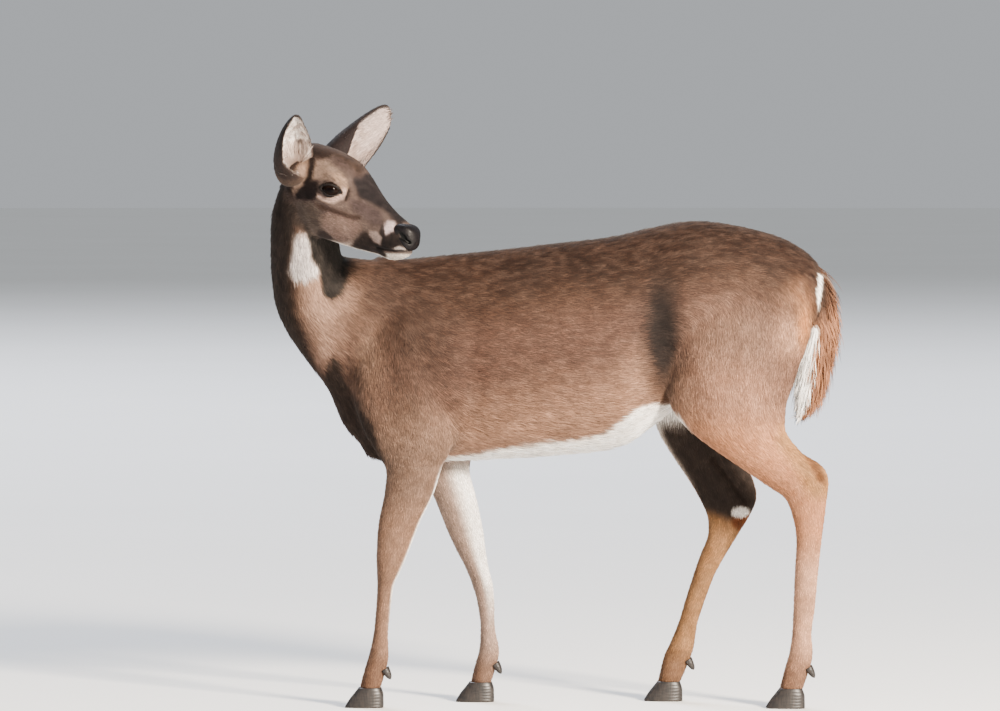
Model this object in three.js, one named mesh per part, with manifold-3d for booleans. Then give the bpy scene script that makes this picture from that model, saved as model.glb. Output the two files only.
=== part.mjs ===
// A white-tailed doe standing broadside and looking back over her left shoulder.
// Millimetres, +Z up. She faces -X, her left flank is on the -Y side, and the floor is z = 0.
import * as THREE from 'three';
import { mergeVertices } from 'three/addons/utils/BufferGeometryUtils.js';
import Module from 'manifold-3d';

const wasm = await Module();
wasm.setup();
const rad = THREE.MathUtils.degToRad;

const GAP = 0.3; // clearance left between neighbouring pieces
const HEAD_AT = [-394, -150, 957]; // point midway between the eyes
const HEAD_NOD = 27; // degrees the muzzle drops below level
const HEAD_TURN = 27; // degrees the muzzle turns from the tail end towards the left flank
const EYE_RADIUS = 18;
const EYE_AT = [4, 43, 2]; // forward, sideways and up from the point between the eyes
const EAR_LENGTH = 172;
const EAR_WIDTH = 97;
const EAR_THICKNESS = 6.5;
const EAR_DEPTH = [41, 20]; // of the cup at the root and at the tip
const EAR_ROLL = [163, 97]; // degrees the cup wraps round to each side, at the root and at the tip
const EAR_LEAN = 4; // of the tip towards the opening
// Root is forward, sideways and up from the point between the eyes. Spread and forward are parts
// of the ear's direction, turn is how far its opening swings away from the muzzle in degrees, and
// sway is how far its tip bends sideways.
const EAR_LEFT = { side: 1, root: [-55, 41.5, 11.6], spread: 1.43, forward: 0.07, turn: -16, sway: -24 };
const EAR_RIGHT = { side: -1, root: [-82.5, 41, -1.8], spread: 1.07, forward: 0.09, turn: -13, sway: -19 };
const HOOF_TOP = 36;
const CLAW_HALF_WIDTH = 12.2;
const CLAW_SPREAD = 13.2; // middle of one claw from the middle of the foot
const DEWCLAW_LENGTH = 22;
const DEWCLAW_RADII = [2.5, 7.5]; // at the tip and at the root
const DEWCLAW_TIP_BACK = 30; // degrees from straight down
const DEWCLAW_SPREAD = 11; // middle of one dewclaw from the middle of the leg
const DEWCLAW_BEHIND = 4; // middle of a dewclaw behind the leg's back line

// Saw cuts through the flesh, seen from the side: under the jaw, at the base of the neck, at the
// elbows and around the thighs. Each runs between two points (x, z), at y, and is so wide.
const SAW_CUTS = [
  { from: [-543, 923], to: [-382, 834], y: -70, width: 200 },
  { from: [-378, 843], to: [-428, 500], y: 0, width: 340 },
  { from: [-350, 443], to: [-110, 443], y: 0, width: 320 },
  { from: [166, 498], to: [500, 672], y: 0, width: 320 },
];
// The middle of each piece that the cuts leave beside the trunk.
const PIECE_MIDDLES = {
  neck: [-440, -50, 750],
  head: [-370, -160, 940],
  foreleg_left: [-320, -70, 220],
  foreleg_right: [-150, 70, 220],
  hindleg_left: [400, -85, 280],
  hindleg_right: [300, 85, 280],
};

// Each body part is a row of cross-sections. A section is given by the two ends of its long
// measure, its sideways position and half width, and how much wider it is at its first end
// (lean above 0) or its second end (lean below 0).
// Columns: x and z of the first end, x and z of the second end, y, half width, lean.

// Back line and belly line, from the breast to the seat.
const TRUNK = [
  [-372, 770, -374, 512, 0, 52, -0.1],
  [-340, 829, -348, 462, 0, 84, -0.16],
  [-287, 828, -298, 450, 0, 102, -0.2],
  [-213, 835, -213, 450, 0, 114, -0.2],
  [-102, 846, -102, 454, 0, 125, -0.18],
  [9, 859, 9, 461, 0, 131, -0.16],
  [104, 870, 108, 474, 0, 129, -0.12],
  [178, 887, 166, 505, 0, 122, -0.06],
  [256, 899, 262, 578, 0, 117, 0.02],
  [343, 889, 352, 626, 0, 110, 0.04],
  [424, 865, 424, 670, 0, 94, 0.02],
  [476, 830, 476, 700, 0, 66, 0],
  [500, 788, 492, 728, 0, 34, 0],
];

// Throat side and nape side, from inside the chest to the back of the skull.
const NECK = [
  [-339, 463, -157, 750, 0, 80, 0],
  [-388, 509, -224, 806, -2, 84, 0],
  [-421, 581, -290, 817, -8, 82, 0],
  [-463, 639, -339, 826, -17, 78, 0],
  [-494, 685, -370, 829, -28, 74, 0],
  [-515, 731, -388, 833, -38, 71, 0],
  [-524, 781, -394, 843, -50, 69, 0],
  [-527, 843, -398, 866, -66, 67, 0],
  [-524, 907, -409, 907, -86, 63, 0],
  [-512, 949, -424, 950, -102, 55, 0],
  [-500, 975, -446, 990, -112, 42, 0],
];

// Forehead and bridge line, then jaw line, measured from the point between the eyes:
// x runs forward to the nose and z up to the crown.
const HEAD = [
  [-104, 36, -94, -26, 0, 32, 0],
  [-88, 51, -80, -68, 0, 46, 0.02],
  [-62, 58, -56, -90, 0, 50, 0.1],
  [-32, 63, -26, -99, 0, 53, 0.16],
  [0, 63, 4, -98, 0, 53, 0.2],
  [26, 57, 30, -93, 0, 47, 0.16],
  [52, 46, 54, -88, 0, 38, 0.06],
  [78, 33, 78, -83, 0, 32, 0],
  [102, 23, 102, -77, 0, 29, -0.02],
  [126, 16, 126, -71, 0, 28, -0.04],
  [146, 12, 146, -67, 0, 27.5, 0.02],
  [163, 8, 163, -61, 0, 25, 0.1],
  [177, 1, 175, -52, 0, 20, 0.12],
  [185, -12, 183, -38, 0, 10, 0.05],
];

// Front line and back line of the tail, from its root to the tip of the hair.
const TAIL = [
  [446, 786, 500, 812, 0, 20, 0],
  [476, 752, 518, 770, 0, 26, 0],
  [470, 700, 526, 712, 0, 35, 0],
  [455, 650, 524, 655, 0, 42, 0.1],
  [447, 597, 512, 598, 0, 40, 0.1],
  [443, 556, 497, 556, 0, 30, 0],
  [441, 528, 470, 533, 0, 16, 0],
  [443, 513, 452, 517, 0, 5, 0],
];

// Front line and back line of each leg, from inside the body to the top of the hoof.
const FORELEG_LEFT = [
  [-352, 700, -220, 715, -52, 40, 0],
  [-372, 602, -196, 602, -74, 44, 0],
  [-362, 528, -182, 519, -80, 42, 0],
  [-336, 476, -194, 472, -77, 35, 0],
  [-315, 442, -207, 446, -73, 30, 0],
  [-317, 394, -224, 393, -71, 26, 0],
  [-327, 343, -248, 343, -70, 24, 0],
  [-331, 296, -266, 296, -69, 23, 0],
  [-331, 259, -281, 259, -68, 22.5, 0],
  [-330, 226, -296, 226, -68, 18.5, 0],
  [-332, 185, -302, 185, -68, 16, 0],
  [-337, 135, -307, 135, -68, 16, 0],
  [-345, 98, -306, 93, -68, 20, 0],
  [-354, 68, -313, 62, -68, 20, 0],
  [-362, HOOF_TOP, -321, HOOF_TOP, -68, 25, 0],
];
const FORELEG_RIGHT = [
  [-330, 700, -205, 715, 52, 40, 0],
  [-340, 602, -160, 602, 74, 44, 0],
  [-315, 528, -146, 522, 80, 42, 0],
  [-282, 476, -150, 472, 77, 35, 0],
  [-248, 426, -157, 430, 73, 30, 0],
  [-226, 380, -145, 380, 71, 26, 0],
  [-204, 324, -133, 324, 70, 24, 0],
  [-187, 287, -128, 287, 69, 22.5, 0],
  [-168, 250, -122, 250, 68, 22, 0],
  [-155, 217, -114, 217, 68, 20, 0],
  [-146, 185, -111, 185, 68, 16.5, 0],
  [-140, 139, -110, 139, 68, 16, 0],
  [-142, 99, -102, 93, 68, 20, 0],
  [-150, 68, -109, 62, 68, 20, 0],
  [-158, HOOF_TOP, -117, HOOF_TOP, 68, 25, 0],
];
const HINDLEG_LEFT = [
  [216, 778, 440, 800, -52, 44, 0],
  [198, 694, 474, 716, -70, 54, 0],
  [200, 617, 446, 617, -78, 56, 0],
  [209, 561, 428, 565, -84, 50, 0],
  [239, 519, 424, 528, -88, 43, 0],
  [283, 483, 427, 507, -90, 36, 0],
  [339, 444, 449, 485, -90, 31, 0],
  [389, 409, 482, 458, -89, 28, 0],
  [421, 386, 503, 428, -88, 26, 0],
  [436, 350, 500, 376, -87, 24, 0],
  [442, 309, 493, 317, -86, 21, 0],
  [439, 241, 485, 241, -85, 19.5, 0],
  [437, 185, 480, 185, -84, 19, 0],
  [435, 139, 474, 139, -84, 18.5, 0],
  [430, 104, 476, 98, -84, 22, 0],
  [421, 72, 468, 66, -84, 21, 0],
  [412, HOOF_TOP, 458, HOOF_TOP, -84, 26, 0],
];
const HINDLEG_RIGHT = [
  [200, 778, 432, 800, 52, 44, 0],
  [178, 694, 452, 716, 70, 54, 0],
  [173, 617, 415, 625, 78, 55, 0],
  [176, 565, 389, 572, 84, 48, 0],
  [191, 506, 364, 520, 88, 41, 0],
  [217, 459, 352, 476, 90, 35, 0],
  [250, 409, 361, 439, 90, 31, 0],
  [270, 374, 377, 394, 89, 28, 0],
  [283, 343, 373, 362, 88, 26, 0],
  [284, 309, 345, 313, 87, 23, 0],
  [270, 272, 320, 272, 86, 20.5, 0],
  [257, 235, 300, 235, 85, 19.5, 0],
  [243, 191, 283, 191, 84, 19, 0],
  [230, 148, 268, 144, 84, 18.5, 0],
  [215, 111, 261, 100, 84, 22, 0],
  [202, 82, 250, 68, 84, 21, 0],
  [191, HOOF_TOP, 236, HOOF_TOP, 84, 26, 0],
];

// Value of every column at position t of a row of sections, on a smooth curve through them.
function between(rows, t) {
  const last = rows.length - 1;
  const i = Math.min(Math.floor(t), last - 1);
  const f = t - i;
  const [a, b, c, d] = [i - 1, i, i + 1, i + 2].map((k) => rows[Math.max(0, Math.min(last, k))]);
  return b.map((value, k) => {
    const slope = (c[k] - a[k]) / 2;
    const nextSlope = (d[k] - value) / 2;
    const rise = c[k] - value;
    return value + f * (slope + f * (3 * rise - 2 * slope - nextSlope + f * (slope + nextSlope - 2 * rise)));
  });
}

// A closed surface from rings of points, each ring being one section, with a fan over both ends.
function closedSurface(rings) {
  const around = rings[0].length;
  const middle = (ring) => ring.reduce((sum, p) => sum.add(p), new THREE.Vector3()).divideScalar(around);
  const points = [...rings.flat(), middle(rings[0]), middle(rings.at(-1))];
  const faces = [];
  for (let k = 0; k < rings.length - 1; k++) {
    for (let j = 0; j < around; j++) {
      const a = k * around + j;
      const b = k * around + ((j + 1) % around);
      faces.push(a, b, b + around, a, b + around, a + around);
    }
  }
  const start = (rings.length - 1) * around;
  for (let j = 0; j < around; j++) {
    const n = (j + 1) % around;
    faces.push(n, j, points.length - 2, start + j, start + n, points.length - 1);
  }
  const geometry = new THREE.BufferGeometry().setFromPoints(points);
  geometry.setIndex(faces);
  return geometry;
}

// A body part through its sections. The grow measure makes it larger all over, for clearances.
function bodyPart(rows, { steps = 2, around = 16, grow = 0 } = {}) {
  const count = (rows.length - 1) * steps;
  const rings = [];
  const centre = (t) => {
    const [x1, z1, x2, z2, y] = between(rows, t);
    return new THREE.Vector3((x1 + x2) / 2, y, (z1 + z2) / 2);
  };
  for (let k = 0; k <= count; k++) {
    const t = Math.min(k / steps, rows.length - 1);
    const [x1, z1, x2, z2, , half, lean] = between(rows, t);
    const along = centre(Math.min(t + 0.1, rows.length - 1)).sub(centre(Math.max(t - 0.1, 0))).normalize();
    const edge = new THREE.Vector3(x1 - x2, 0, z1 - z2).divideScalar(2);
    const side = along.clone().cross(edge).normalize().multiplyScalar(half + grow);
    edge.setLength(edge.length() + grow);
    const push = k === 0 ? -grow : k === count ? grow : 0;
    const middle = centre(t).addScaledVector(along, push);
    const ring = [];
    for (let j = 0; j < around; j++) {
      const angle = (2 * Math.PI * j) / around;
      const up = Math.cos(angle);
      const across = Math.sin(angle) * (1 + lean * up);
      ring.push(middle.clone().addScaledVector(edge, up).addScaledVector(side, across));
    }
    rings.push(ring);
  }
  return closedSurface(rings);
}

// The outer ear: a leaf rolled into a cup, standing along +z with its opening towards +x.
function earShape(sway) {
  const rings = [];
  const rows = 11;
  const across = 8;
  for (let k = 0; k <= rows; k++) {
    const t = 1 - (1 - k / rows) ** 1.25;
    const leaf = Math.sin(Math.PI * Math.min(1, 0.17 + 0.83 * t) ** 0.95);
    const half = (EAR_WIDTH / 2) * Math.max(leaf ** 0.3, 0.07);
    const depth = THREE.MathUtils.lerp(...EAR_DEPTH, t ** 0.8) * Math.max(leaf ** 0.5, 0.12);
    const roll = rad(THREE.MathUtils.lerp(...EAR_ROLL, Math.min(1, t * 1.9)));
    const thick = Math.min(EAR_THICKNESS, half * 0.6, depth * 0.6);
    const hollow = THREE.MathUtils.lerp(0.06, 1, Math.min(1, t * 5));
    const lean = EAR_LEAN * t * t;
    const ring = [];
    for (let j = 0; j <= across; j++) {
      const angle = roll * ((2 * j) / across - 1);
      ring.push([-depth * Math.cos(angle), half * Math.sin(angle)]);
    }
    for (let j = across; j >= 0; j--) {
      const angle = roll * ((2 * j) / across - 1) * 0.96;
      ring.push([-(depth - thick) * hollow * Math.cos(angle), (half - thick) * hollow * Math.sin(angle)]);
    }
    rings.push(ring.map(([x, y]) => new THREE.Vector3(x + lean, y + sway * t * t, t * EAR_LENGTH)));
  }
  return closedSurface(rings);
}

// A solid for cutting and joining, turned right side out.
function solid(geometry) {
  const bare = geometry.clone();
  bare.deleteAttribute('normal');
  bare.deleteAttribute('uv');
  const merged = mergeVertices(bare, 1e-3);
  const triVerts = Uint32Array.from(merged.index.array);
  const vertProperties = merged.attributes.position.array;
  const build = () => new wasm.Manifold(new wasm.Mesh({ numProp: 3, vertProperties, triVerts }));
  const made = build();
  if (made.volume() > 0) {
    return made;
  }
  for (let i = 0; i < triVerts.length; i += 3) {
    [triVerts[i + 1], triVerts[i + 2]] = [triVerts[i + 2], triVerts[i + 1]];
  }
  return build();
}

// Surface of a solid, as geometry for a mesh.
function surface(body) {
  const mesh = body.getMesh();
  const geometry = new THREE.BufferGeometry();
  geometry.setAttribute('position', new THREE.BufferAttribute(Float32Array.from(mesh.vertProperties), 3));
  geometry.setIndex(new THREE.BufferAttribute(Uint32Array.from(mesh.triVerts), 1));
  return geometry;
}

// The thin flat slot that a saw cut takes out.
function sawCut({ from: [x1, z1], to: [x2, z2], y, width }) {
  const blade = new THREE.BoxGeometry(Math.hypot(x2 - x1, z2 - z1), width, GAP);
  blade.rotateY(-Math.atan2(z2 - z1, x2 - x1));
  blade.translate((x1 + x2) / 2, y, (z1 + z2) / 2);
  return solid(blade);
}

const muzzle = new THREE.Vector3(
  Math.cos(rad(HEAD_NOD)) * Math.cos(rad(HEAD_TURN)),
  -Math.cos(rad(HEAD_NOD)) * Math.sin(rad(HEAD_TURN)),
  -Math.sin(rad(HEAD_NOD)),
);
const leftward = new THREE.Vector3(Math.sin(rad(HEAD_TURN)), Math.cos(rad(HEAD_TURN)), 0);
const crownward = muzzle.clone().cross(leftward);
const headPlace = new THREE.Matrix4().makeBasis(muzzle, leftward, crownward).setPosition(...HEAD_AT);

// Ear placed on the head.
function placedEar({ side, root, spread, forward, turn, sway }) {
  const axis = new THREE.Vector3(forward, side * spread, 1).normalize();
  const outward = new THREE.Vector3(0, side, -spread).normalize();
  const opening = new THREE.Vector3(1, 0, 0)
    .multiplyScalar(Math.cos(rad(turn)))
    .addScaledVector(outward, Math.sin(rad(turn)));
  opening.addScaledVector(axis, -opening.dot(axis)).normalize();
  const place = new THREE.Matrix4()
    .makeBasis(opening, axis.clone().cross(opening), axis)
    .setPosition(root[0], side * root[1], root[2]);
  return earShape(sway).applyMatrix4(place).applyMatrix4(headPlace);
}

// One claw of a hoof on the floor, with its toe towards -x and the middle of its top at x = 0.
function claw(side) {
  const rows = [
    [-47, 0, 24, 0, side * CLAW_SPREAD, CLAW_HALF_WIDTH, -0.3],
    [-43, 8, 25, 8, side * CLAW_SPREAD, CLAW_HALF_WIDTH, -0.26],
    [-30, 24, 24, 24, side * CLAW_SPREAD, CLAW_HALF_WIDTH - 0.4, -0.2],
    [-21, HOOF_TOP - GAP, 20, HOOF_TOP - GAP, side * CLAW_SPREAD, CLAW_HALF_WIDTH - 1, -0.1],
  ];
  return bodyPart(rows, { steps: 1, around: 10 });
}

// The small horn point behind the pastern, pointing down and back.
function dewclaw(grow = 0) {
  const [tip, root] = DEWCLAW_RADII;
  const shape = new THREE.CylinderGeometry(tip + grow, root + grow, DEWCLAW_LENGTH + 2 * grow, 7);
  shape.rotateX(-Math.PI / 2);
  shape.rotateY(rad(-DEWCLAW_TIP_BACK));
  return shape;
}

const group = new THREE.Group();
const coat = new THREE.MeshStandardMaterial({ color: 0x8a6c5a, roughness: 0.9 });
const faceCoat = new THREE.MeshStandardMaterial({ color: 0x7a6257, roughness: 0.9 });
const tailCoat = new THREE.MeshStandardMaterial({ color: 0x8d5f42, roughness: 0.9 });
const earCoat = new THREE.MeshStandardMaterial({ color: 0xb9aaa2, roughness: 0.9 });
const eyeball = new THREE.MeshStandardMaterial({ color: 0x1c1310, roughness: 0.1 });
const horn = new THREE.MeshStandardMaterial({ color: 0x2a2420, roughness: 0.5 });

function add(name, body, material) {
  const mesh = new THREE.Mesh(surface(body), material.clone());
  mesh.name = name;
  group.add(mesh);
}

const largest = (body) => body.decompose().sort((a, b) => b.volume() - a.volume())[0];
const partAt = (pieces, [x, y, z]) => {
  const distance = (piece) => {
    const { min, max } = piece.boundingBox();
    return Math.hypot((min[0] + max[0]) / 2 - x, (min[1] + max[1]) / 2 - y, (min[2] + max[2]) / 2 - z);
  };
  return [...pieces].sort((a, b) => distance(a) - distance(b))[0];
};

// The flesh, joined into one body.
const trunk = solid(bodyPart(TRUNK, { around: 20 }));
const neck = solid(bodyPart(NECK, { around: 18 }));
const head = solid(bodyPart(HEAD, { around: 18 }).applyMatrix4(headPlace));
const legRows = [FORELEG_LEFT, FORELEG_RIGHT, HINDLEG_LEFT, HINDLEG_RIGHT];
const legs = legRows.map((rows) => solid(bodyPart(rows, { around: 10 })));
let flesh = legs.reduce((body, leg) => body.add(leg), trunk.add(neck).add(head));

for (const cut of SAW_CUTS) {
  flesh = flesh.subtract(sawCut(cut));
}

// Eyes in sockets.
for (const [name, side] of [['eye_left', 1], ['eye_right', -1]]) {
  const place = (shape) => shape.translate(EYE_AT[0], side * EYE_AT[1], EYE_AT[2]).applyMatrix4(headPlace);
  flesh = flesh.subtract(solid(place(new THREE.SphereGeometry(EYE_RADIUS + GAP, 14, 9))));
  add(name, solid(place(new THREE.SphereGeometry(EYE_RADIUS, 14, 9))), eyeball);
}

// Hooves and dewclaws under and behind each leg.
const footNames = ['foreleg_left', 'foreleg_right', 'hindleg_left', 'hindleg_right'];
legRows.forEach((rows, i) => {
  const [x1, , x2, , y] = rows.at(-1);
  const [, , backX, backZ] = between(rows, rows.length - 2);
  for (const [claws, side] of [['inner', -Math.sign(y)], ['outer', Math.sign(y)]]) {
    const shape = claw(side).translate((x1 + x2) / 2, y, 0);
    add(`hoof_${footNames[i]}_${claws}`, solid(shape), horn);
    const spot = [backX + DEWCLAW_BEHIND, y + side * DEWCLAW_SPREAD, backZ];
    flesh = flesh.subtract(solid(dewclaw(GAP).translate(...spot)));
    add(`dewclaw_${footNames[i]}_${claws}`, solid(dewclaw().translate(...spot)), horn);
  }
});

const pieces = flesh.decompose();
add('trunk', largest(flesh), coat);
for (const [name, middle] of Object.entries(PIECE_MIDDLES)) {
  add(name, partAt(pieces, middle), name === 'head' ? faceCoat : coat);
}

const grownHead = solid(bodyPart(HEAD, { around: 18, grow: GAP }).applyMatrix4(headPlace));
const grownNeck = solid(bodyPart(NECK, { around: 18, grow: GAP }));
const skull = grownHead.add(grownNeck);
add('ear_left', largest(solid(placedEar(EAR_LEFT)).subtract(skull)), earCoat);
add('ear_right', largest(solid(placedEar(EAR_RIGHT)).subtract(skull)), earCoat);

let seat = solid(bodyPart(TRUNK, { around: 20, grow: GAP }));
for (const rows of [HINDLEG_LEFT, HINDLEG_RIGHT]) {
  seat = seat.add(solid(bodyPart(rows, { around: 10, grow: GAP })));
}
add('tail', largest(solid(bodyPart(TAIL, { around: 14 })).subtract(seat)), tailCoat);

// The middle of the outline, seen from above, goes to the origin.
const box = new THREE.Box3().setFromObject(group);
const middle = box.getCenter(new THREE.Vector3());
for (const mesh of group.children) {
  mesh.geometry.translate(-middle.x, -middle.y, 0);
}

export default group;
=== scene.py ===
import bpy
import numpy as np
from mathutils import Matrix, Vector
from mathutils.kdtree import KDTree


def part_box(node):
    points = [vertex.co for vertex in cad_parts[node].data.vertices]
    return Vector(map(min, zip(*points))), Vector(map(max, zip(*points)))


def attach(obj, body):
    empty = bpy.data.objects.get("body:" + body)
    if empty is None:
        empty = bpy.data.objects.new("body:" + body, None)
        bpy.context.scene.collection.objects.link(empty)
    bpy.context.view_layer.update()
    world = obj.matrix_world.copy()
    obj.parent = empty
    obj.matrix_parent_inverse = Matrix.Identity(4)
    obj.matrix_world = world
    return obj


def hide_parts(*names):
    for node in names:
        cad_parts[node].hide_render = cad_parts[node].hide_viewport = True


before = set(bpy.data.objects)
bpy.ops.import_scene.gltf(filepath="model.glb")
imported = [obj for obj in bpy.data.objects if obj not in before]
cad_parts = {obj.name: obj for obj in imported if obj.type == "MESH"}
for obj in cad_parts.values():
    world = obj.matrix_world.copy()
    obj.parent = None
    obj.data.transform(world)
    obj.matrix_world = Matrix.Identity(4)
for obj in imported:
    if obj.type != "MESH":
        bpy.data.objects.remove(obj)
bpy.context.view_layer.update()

# A white-tailed doe in winter coat, life size, looking back over her left shoulder.
# Metres: x runs from the breast to the tail, y from the left flank to the right, z up.
# The head has measures of its own: forward to the nose, leftward, and up to the crown.
HEAD_AT = np.array([-0.394, -0.150, 0.957])
HEAD_NOD = np.radians(27)
HEAD_TURN = np.radians(27)
EYE_AT = np.array([0.004, 0.043, 0.002])
level = np.array([np.cos(HEAD_TURN), -np.sin(HEAD_TURN), 0.0])
leftward = np.array([np.sin(HEAD_TURN), np.cos(HEAD_TURN), 0.0])
forward = np.cos(HEAD_NOD) * level - np.array([0, 0, np.sin(HEAD_NOD)])
head_axes = np.stack([forward, leftward, np.cross(forward, leftward)])


def from_head(local):
    """Body measures of points given in the head's own measures."""
    return HEAD_AT + local @ head_axes


def to_head(points):
    """Head measures of points given in body measures."""
    return (points - HEAD_AT) @ head_axes.T


eye_low, eye_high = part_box("eye_right")
STAND = (np.array(eye_low) + np.array(eye_high)) / 2 - from_head(EYE_AT * [1, -1, 1])
STAND[2] = 0

# The camera stands fourteen metres off the left flank, a little above the middle of the body.
CAMERA_DISTANCE = 14.0
CAMERA_RISE = np.radians(2)
CAMERA_LENS = 272.16
AIM = STAND + [-0.102, 0, 0.6472]
camera = bpy.data.objects.new("camera", bpy.data.cameras.new("camera"))
camera.data.sensor_width = 36
camera.data.lens = CAMERA_LENS
camera.data.clip_end = 200
camera.location = Vector(AIM + CAMERA_DISTANCE * np.array([0, -np.cos(CAMERA_RISE), np.sin(CAMERA_RISE)]))
camera.rotation_euler = (np.pi / 2 - CAMERA_RISE, 0, 0)
bpy.context.collection.objects.link(camera)
bpy.context.scene.camera = camera


# The studio: a wide pale matt floor under a pale sky, a large low key light from the right
# on the camera's side, a weak fill from the left and a high one from behind.
def tone(hex_colour):
    """An sRGB hex colour as three numbers from 0 to 1."""
    return np.array([int(hex_colour[i:i + 2], 16) for i in (1, 3, 5)]) / 255


def linear(colour):
    """Linear red, green and blue of an sRGB hex colour, or of sRGB numbers from 0 to 1."""
    value = tone(colour) if isinstance(colour, str) else colour
    return np.where(value > 0.04045, ((value + 0.055) / 1.055) ** 2.4, value / 12.92)


def fill(tree, node, inputs):
    """Sets each of a node's inputs to a value, or links it to another node's output."""
    for socket, value in inputs.items():
        if isinstance(value, bpy.types.NodeSocket):
            tree.links.new(value, node.inputs[socket])
        else:
            node.inputs[socket].default_value = value


def add_node(tree, kind, inputs, **settings):
    """Adds a shader node with its settings and inputs."""
    made = tree.nodes.new("ShaderNode" + kind)
    for name, value in settings.items():
        setattr(made, name, value)
    fill(tree, made, inputs)
    return made


def new_material(name):
    """An empty material, its node tree, its shader and the object's own coordinates."""
    made = bpy.data.materials.new(name)
    made.use_nodes = True
    tree = made.node_tree
    return made, tree, tree.nodes["Principled BSDF"], add_node(tree, "TexCoord", {}).outputs["Object"]


FLOOR_RADIUS = 60.0
FLOOR_SIDES = 64
turn = np.linspace(0, 2 * np.pi, FLOOR_SIDES, endpoint=False)
rim = np.stack([np.cos(turn), np.sin(turn), 0 * turn], 1) * FLOOR_RADIUS
floor_mesh = bpy.data.meshes.new("floor")
floor_mesh.from_pydata(rim.tolist(), [], [list(range(FLOOR_SIDES))])
floor = bpy.data.objects.new("floor", floor_mesh)
bpy.context.collection.objects.link(floor)
floor_paint, tree, shader, where = new_material("matt studio floor")
cloud = add_node(tree, "TexNoise", {"Vector": where, "Scale": 0.7, "Detail": 3})
shades = add_node(tree, "ValToRGB", {"Fac": cloud.outputs["Fac"]})
shades.color_ramp.elements[0].color = (*linear("#f1f1ee"), 1)
shades.color_ramp.elements[1].color = (*linear("#f8f8f6"), 1)
fill(tree, shader, {"Base Color": shades.outputs["Color"], "Roughness": 0.9})
floor_mesh.materials.append(floor_paint)

world = bpy.data.worlds.new("pale sky")
bpy.context.scene.world = world
world.use_nodes = True
sky = world.node_tree.nodes["Background"]
fill(world.node_tree, sky, {"Color": (*linear("#dfe3e8"), 1), "Strength": 0.62})


def add_light(name, towards, distance, size, watts, colour):
    """A square soft light, seen from the middle of the animal in the given direction, facing it."""
    lamp = bpy.data.lights.new(name, "AREA")
    lamp.size = size
    lamp.energy = watts
    lamp.color = linear(colour)
    light = bpy.data.objects.new(name, lamp)
    towards = Vector(towards).normalized()
    light.location = Vector(AIM) + towards * distance
    light.rotation_euler = towards.to_track_quat("Z", "Y").to_euler()
    bpy.context.collection.objects.link(light)


add_light("key light", (0.55, -0.78, 0.30), 7.0, 1.1, 2800, "#fff0dd")
add_light("fill light", (-0.75, -0.55, 0.35), 7.0, 4.0, 45, "#e8f0ff")
add_light("back light", (-0.25, 0.75, 0.75), 22.0, 9.0, 6500, "#eef2ff")

# The body's form, in millimetres. Each part is a row of cross-sections: x and z of the first
# end of the section's long measure, x and z of its second end, y, half width, and how much
# wider it is at its first end (lean above 0) or its second end (lean below 0).
TRUNK = [
    [-372, 770, -374, 512, 0, 52, -0.1],
    [-340, 829, -348, 462, 0, 84, -0.16],
    [-287, 828, -298, 450, 0, 102, -0.2],
    [-213, 835, -213, 450, 0, 114, -0.2],
    [-102, 846, -102, 454, 0, 125, -0.18],
    [9, 859, 9, 461, 0, 131, -0.16],
    [104, 870, 108, 474, 0, 129, -0.12],
    [178, 887, 166, 505, 0, 122, -0.06],
    [256, 899, 262, 578, 0, 117, 0.02],
    [343, 889, 352, 626, 0, 110, 0.04],
    [424, 865, 424, 670, 0, 94, 0.02],
    [476, 830, 476, 700, 0, 66, 0],
    [500, 788, 492, 728, 0, 34, 0],
]
NECK = [
    [-339, 463, -157, 750, 0, 80, 0],
    [-388, 509, -224, 806, -2, 84, 0],
    [-421, 581, -290, 817, -8, 82, 0],
    [-463, 639, -339, 826, -17, 78, 0],
    [-494, 685, -370, 829, -28, 74, 0],
    [-515, 731, -388, 833, -38, 71, 0],
    [-524, 781, -394, 843, -50, 69, 0],
    [-527, 843, -398, 866, -66, 67, 0],
    [-524, 907, -409, 907, -86, 63, 0],
    [-512, 949, -424, 950, -102, 55, 0],
    [-500, 975, -446, 990, -112, 42, 0],
]
# The head's sections are in its own measures: forward and up instead of x and z.
HEAD = [
    [-104, 36, -94, -26, 0, 32, 0],
    [-88, 51, -80, -68, 0, 46, 0.02],
    [-62, 58, -56, -90, 0, 50, 0.1],
    [-32, 63, -26, -99, 0, 53, 0.16],
    [0, 63, 4, -98, 0, 53, 0.2],
    [26, 57, 30, -93, 0, 47, 0.16],
    [52, 46, 54, -88, 0, 38, 0.06],
    [78, 33, 78, -83, 0, 32, 0],
    [102, 23, 102, -77, 0, 29, -0.02],
    [126, 16, 126, -71, 0, 28, -0.04],
    [146, 12, 146, -67, 0, 27.5, 0.02],
    [163, 8, 163, -61, 0, 25, 0.1],
    [177, 1, 175, -52, 0, 20, 0.12],
    [185, -12, 183, -38, 0, 10, 0.05],
]
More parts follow.
